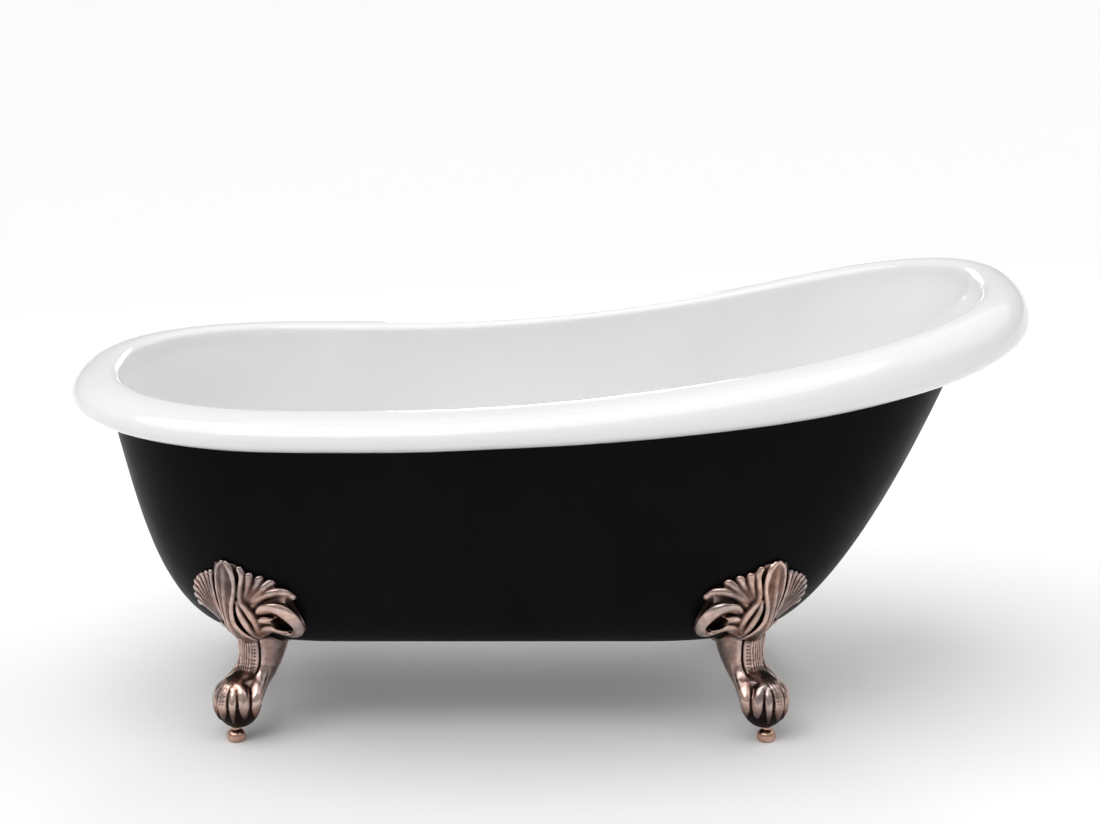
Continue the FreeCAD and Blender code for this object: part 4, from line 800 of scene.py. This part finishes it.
# ---------------------------------------------------------------- materials
class Finish:
    """A material and short ways to add its nodes.  Patterns use object coordinates, in metres."""

    def __init__(self, name, metallic=0.0):
        self.material = bpy.data.materials.new(name)
        self.material.use_nodes = True
        self.tree = self.material.node_tree
        self.shader = self.tree.nodes["Principled BSDF"]
        self.shader.inputs["Metallic"].default_value = metallic
        self.where = self.tree.nodes.new("ShaderNodeTexCoord").outputs["Object"]
        self.normal = None

    def node(self, kind, **inputs):
        item = self.tree.nodes.new(kind)
        for key, value in inputs.items():
            self.feed(item.inputs[key.replace("_", " ")], value)
        return item

    def feed(self, socket, value):
        if isinstance(value, bpy.types.NodeSocket):
            self.tree.links.new(value, socket)
        else:
            socket.default_value = value

    def stretched(self, scale):
        mapping = self.tree.nodes.new("ShaderNodeMapping")
        self.tree.links.new(self.where, mapping.inputs["Vector"])
        mapping.inputs["Scale"].default_value = scale
        return mapping.outputs["Vector"]

    def noise(self, scale, detail=3.0, rough=0.5, stretch=None, distortion=0.0):
        vector = self.stretched(stretch) if stretch else self.where
        item = self.node("ShaderNodeTexNoise", Vector=vector, Scale=scale, Detail=detail, Roughness=rough,
                         Distortion=distortion)
        return item.outputs["Fac"]

    def attribute(self, name):
        item = self.tree.nodes.new("ShaderNodeAttribute")
        item.attribute_name = name
        return item.outputs["Fac"]

    def spread(self, value, low, high, to_low=0.0, to_high=1.0):
        item = self.tree.nodes.new("ShaderNodeMapRange")
        for key, number in (("From Min", low), ("From Max", high), ("To Min", to_low), ("To Max", to_high)):
            item.inputs[key].default_value = number
        self.tree.links.new(value, item.inputs["Value"])
        return item.outputs["Result"]

    def math(self, operation, a, b):
        item = self.tree.nodes.new("ShaderNodeMath")
        item.operation = operation
        self.feed(item.inputs[0], a)
        self.feed(item.inputs[1], b)
        return item.outputs[0]

    def ramp(self, value, stops):
        item = self.tree.nodes.new("ShaderNodeValToRGB")
        elements = item.color_ramp.elements
        while len(elements) < len(stops):
            elements.new(0.5)
        for element, (place, colour) in zip(elements, stops):
            element.position = place
            element.color = (*colour, 1.0)
        self.tree.links.new(value, item.inputs["Fac"])
        return item.outputs["Color"]

    def blend(self, share, a, b):
        item = self.tree.nodes.new("ShaderNodeMix")
        item.data_type = "RGBA"
        self.feed(item.inputs[0], share)
        for socket, value in ((item.inputs[6], a), (item.inputs[7], b)):
            self.feed(socket, value if isinstance(value, bpy.types.NodeSocket) else (*value, 1.0))
        return item.outputs[2]

    def colour(self, value):
        self.feed(self.shader.inputs["Base Color"], value)

    def rough(self, value):
        self.feed(self.shader.inputs["Roughness"], value)

    def bump(self, height, strength, distance):
        item = self.tree.nodes.new("ShaderNodeBump")
        item.inputs["Strength"].default_value = strength
        item.inputs["Distance"].default_value = distance
        self.tree.links.new(height, item.inputs["Height"])
        if self.normal is not None:
            self.tree.links.new(self.normal, item.inputs["Normal"])
        self.normal = item.outputs["Normal"]
        self.tree.links.new(self.normal, self.shader.inputs["Normal"])

    def set(self, **values):
        for key, value in values.items():
            self.shader.inputs[key.replace("_", " ")].default_value = value
        return self.material


def white_acrylic():
    f = Finish("white_acrylic")
    f.colour(f.ramp(f.noise(2.2, 2.0), [(0.3, (0.815, 0.815, 0.812)), (0.7, (0.845, 0.845, 0.843))]))
    f.rough(f.spread(f.noise(9.0, 4.0), 0.3, 0.7, 0.07, 0.13))
    f.bump(f.noise(38.0, 2.0), 0.035, 0.002)
    return f.set(Coat_Weight=0.25, Coat_Roughness=0.06)


def black_acrylic():
    f = Finish("black_acrylic")
    f.colour(f.ramp(f.noise(5.0, 3.0), [(0.3, (0.0035, 0.0035, 0.0038)), (0.7, (0.0055, 0.0055, 0.0058))]))
    f.rough(f.spread(f.noise(14.0, 4.0), 0.3, 0.7, 0.34, 0.44))
    f.bump(f.noise(320.0, 3.0), 0.05, 0.0006)
    return f.set(Specular_IOR_Level=0.03)


def copper_casting():
    f = Finish("antique_copper", metallic=1.0)
    # painted highlight where the metal stands out and painted shade, near black, deep in the recesses, over
    # the patina that the hollows hold; greyer in patches
    wide = f.spread(f.attribute("recess_shade_wide"), 0.40, 0.86)
    fine = f.spread(f.attribute("recess_shade_fine"), 0.46, 0.80)
    recess = f.math("MAXIMUM", wide, f.math("MULTIPLY", fine, 0.95))
    # the recess share as painted shade and patina, with random tone from the noise
    shade_and_patina = f.math("ADD", recess, f.math("MULTIPLY", f.math("SUBTRACT", f.noise(55.0, 4.0, 0.6), 0.5), 0.22))
    base = f.ramp(shade_and_patina, [(0.0, (0.76, 0.56, 0.485)), (0.09, (0.45, 0.295, 0.24)), (0.2, (0.22, 0.125, 0.098)),
                         (0.31, (0.08, 0.043, 0.034)), (0.46, (0.022, 0.012, 0.0095)),
                         (1.0, (0.006, 0.004, 0.0035))])
    grey = f.ramp(shade_and_patina, [(0.0, (0.55, 0.455, 0.43)), (0.09, (0.28, 0.215, 0.207)),
                         (0.2, (0.115, 0.083, 0.082)), (0.31, (0.04, 0.028, 0.027)),
                         (0.46, (0.013, 0.009, 0.009)), (1.0, (0.005, 0.004, 0.0038))])
    base = f.blend(f.spread(f.noise(15.0, 2.0), 0.4, 0.62, 0.0, 0.9), base, grey)
    specks = f.spread(f.noise(520.0, 2.0), 0.62, 0.74)
    f.colour(f.blend(f.math("MULTIPLY", specks, 0.22), base, (0.16, 0.09, 0.07)))
    f.rough(f.spread(shade_and_patina, 0.0, 0.7, 0.2, 0.55))
    f.bump(f.noise(260.0, 4.0, 0.6), 0.08, 0.0006)
    f.bump(f.noise(46.0, 3.0), 0.12, 0.0014)
    return f.material


def copper_plate():
    f = Finish("bright_copper", metallic=1.0)
    f.colour(f.ramp(f.noise(60.0, 4.0), [(0.3, (0.46, 0.26, 0.19)), (0.7, (0.66, 0.43, 0.34))]))
    f.rough(f.spread(f.noise(140.0, 4.0), 0.3, 0.7, 0.16, 0.32))
    f.bump(f.noise(30.0, 2.0, stretch=(1, 1, 60)), 0.08, 0.0004)
    return f.material


def zinc_steel():
    f = Finish("zinc_steel", metallic=1.0)
    f.colour(f.ramp(f.noise(70.0, 5.0, 0.6), [(0.3, (0.44, 0.44, 0.46)), (0.7, (0.66, 0.66, 0.67))]))
    f.rough(f.spread(f.noise(160.0, 4.0), 0.3, 0.7, 0.28, 0.46))
    f.bump(f.noise(420.0, 3.0), 0.1, 0.0004)
    return f.material


def chrome():
    f = Finish("chrome", metallic=1.0)
    f.colour(f.ramp(f.noise(25.0, 3.0), [(0.3, (0.76, 0.77, 0.78)), (0.7, (0.84, 0.84, 0.85))]))
    f.rough(f.spread(f.noise(60.0, 5.0), 0.3, 0.75, 0.04, 0.13))
    f.bump(f.noise(300.0, 2.0), 0.02, 0.0003)
    return f.material


def rubber():
    f = Finish("rubber")
    f.colour(f.ramp(f.noise(80.0, 4.0), [(0.3, (0.018, 0.018, 0.018)), (0.7, (0.032, 0.031, 0.03))]))
    f.rough(f.spread(f.noise(200.0, 3.0), 0.3, 0.7, 0.55, 0.75))
    f.bump(f.noise(900.0, 3.0), 0.2, 0.0003)
    return f.material


def white_plastic():
    f = Finish("white_plastic")
    f.colour(f.ramp(f.noise(30.0, 3.0), [(0.3, (0.74, 0.74, 0.72)), (0.7, (0.8, 0.8, 0.785))]))
    f.rough(f.spread(f.noise(120.0, 3.0), 0.3, 0.7, 0.34, 0.46))
    f.bump(f.noise(600.0, 2.0), 0.08, 0.0003)
    return f.material


def grey_plastic():
    f = Finish("grey_plastic")
    f.colour(f.ramp(f.noise(40.0, 3.0), [(0.3, (0.17, 0.18, 0.185)), (0.7, (0.23, 0.235, 0.24))]))
    f.rough(f.spread(f.noise(90.0, 3.0), 0.3, 0.7, 0.36, 0.5))
    f.bump(f.noise(300.0, 2.0), 0.12, 0.0004)
    return f.material


def brass():
    f = Finish("brass", metallic=1.0)
    f.colour(f.ramp(f.noise(70.0, 4.0), [(0.3, (0.56, 0.42, 0.18)), (0.7, (0.74, 0.58, 0.3))]))
    f.rough(f.spread(f.noise(150.0, 4.0), 0.3, 0.7, 0.2, 0.36))
    f.bump(f.noise(40.0, 2.0, stretch=(1, 1, 50)), 0.1, 0.0003)
    return f.material


def adhesive():
    f = Finish("adhesive")
    f.colour(f.ramp(f.noise(25.0, 4.0), [(0.3, (0.62, 0.6, 0.55)), (0.7, (0.72, 0.7, 0.66))]))
    f.rough(f.spread(f.noise(60.0, 4.0), 0.3, 0.7, 0.45, 0.65))
    f.bump(f.noise(70.0, 4.0), 0.5, 0.002)
    return f.material


def wood():
    f = Finish("wood")
    grain = f.noise(9.0, 6.0, 0.6, stretch=(1.5, 14, 14), distortion=0.6)
    fibre = f.noise(60.0, 3.0, 0.5, stretch=(1, 18, 18))
    base = f.ramp(grain, [(0.3, (0.36, 0.22, 0.11)), (0.5, (0.52, 0.36, 0.2)), (0.7, (0.62, 0.46, 0.28))])
    f.colour(f.blend(f.math("MULTIPLY", fibre, 0.3), base, (0.3, 0.18, 0.09)))
    f.rough(f.spread(grain, 0.3, 0.7, 0.55, 0.75))
    f.bump(fibre, 0.25, 0.0008)
    return f.material


COPPER_CASTING = copper_casting()
FINISHES = {
    "white_acrylic": white_acrylic(),
    "black_acrylic": black_acrylic(),
    "adhesive": adhesive(),
    "wood": wood(),
    "bright_copper": copper_plate(),
    "zinc_steel": zinc_steel(),
    "chrome": chrome(),
    "rubber": rubber(),
    "white_plastic": white_plastic(),
    "grey_plastic": grey_plastic(),
    "brass": brass(),
}
FOOT_NAMES = ("front_low", "front_high", "rear_low", "rear_high")
NODES = {
    "white_acrylic": ("bath_liner",),
    "black_acrylic": ("outer_shell",),
    "adhesive": ("seam_bond",),
    "wood": ("base_board", "floor_bearer_low", "floor_bearer_middle", "floor_bearer_high"),
    "zinc_steel": ("foot_bolts", "foot_washers", "foot_nuts", "hose_clips",
                   *(f"foot_plate_{foot}" for foot in FOOT_NAMES)),
    "chrome": ("waste_body", "waste_plug", "overflow_cover", "overflow_screw"),
    "rubber": ("waste_flange_seal", "waste_under_seal", "plug_seal", "overflow_seal"),
    "white_plastic": ("overflow_banjo", "waste_backnut", "overflow_elbow"),
    "grey_plastic": ("overflow_hose",),
    "brass": ("plug_cartridge",),
}


def dress_nodes():
    """Gives every node that keeps its own shape its finish."""
    for finish, names in NODES.items():
        for name in names:
            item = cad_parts[name]
            item.data.materials.clear()
            item.data.materials.append(FINISHES[finish])


make_feet()
make_levelling_screws()
dress_nodes()
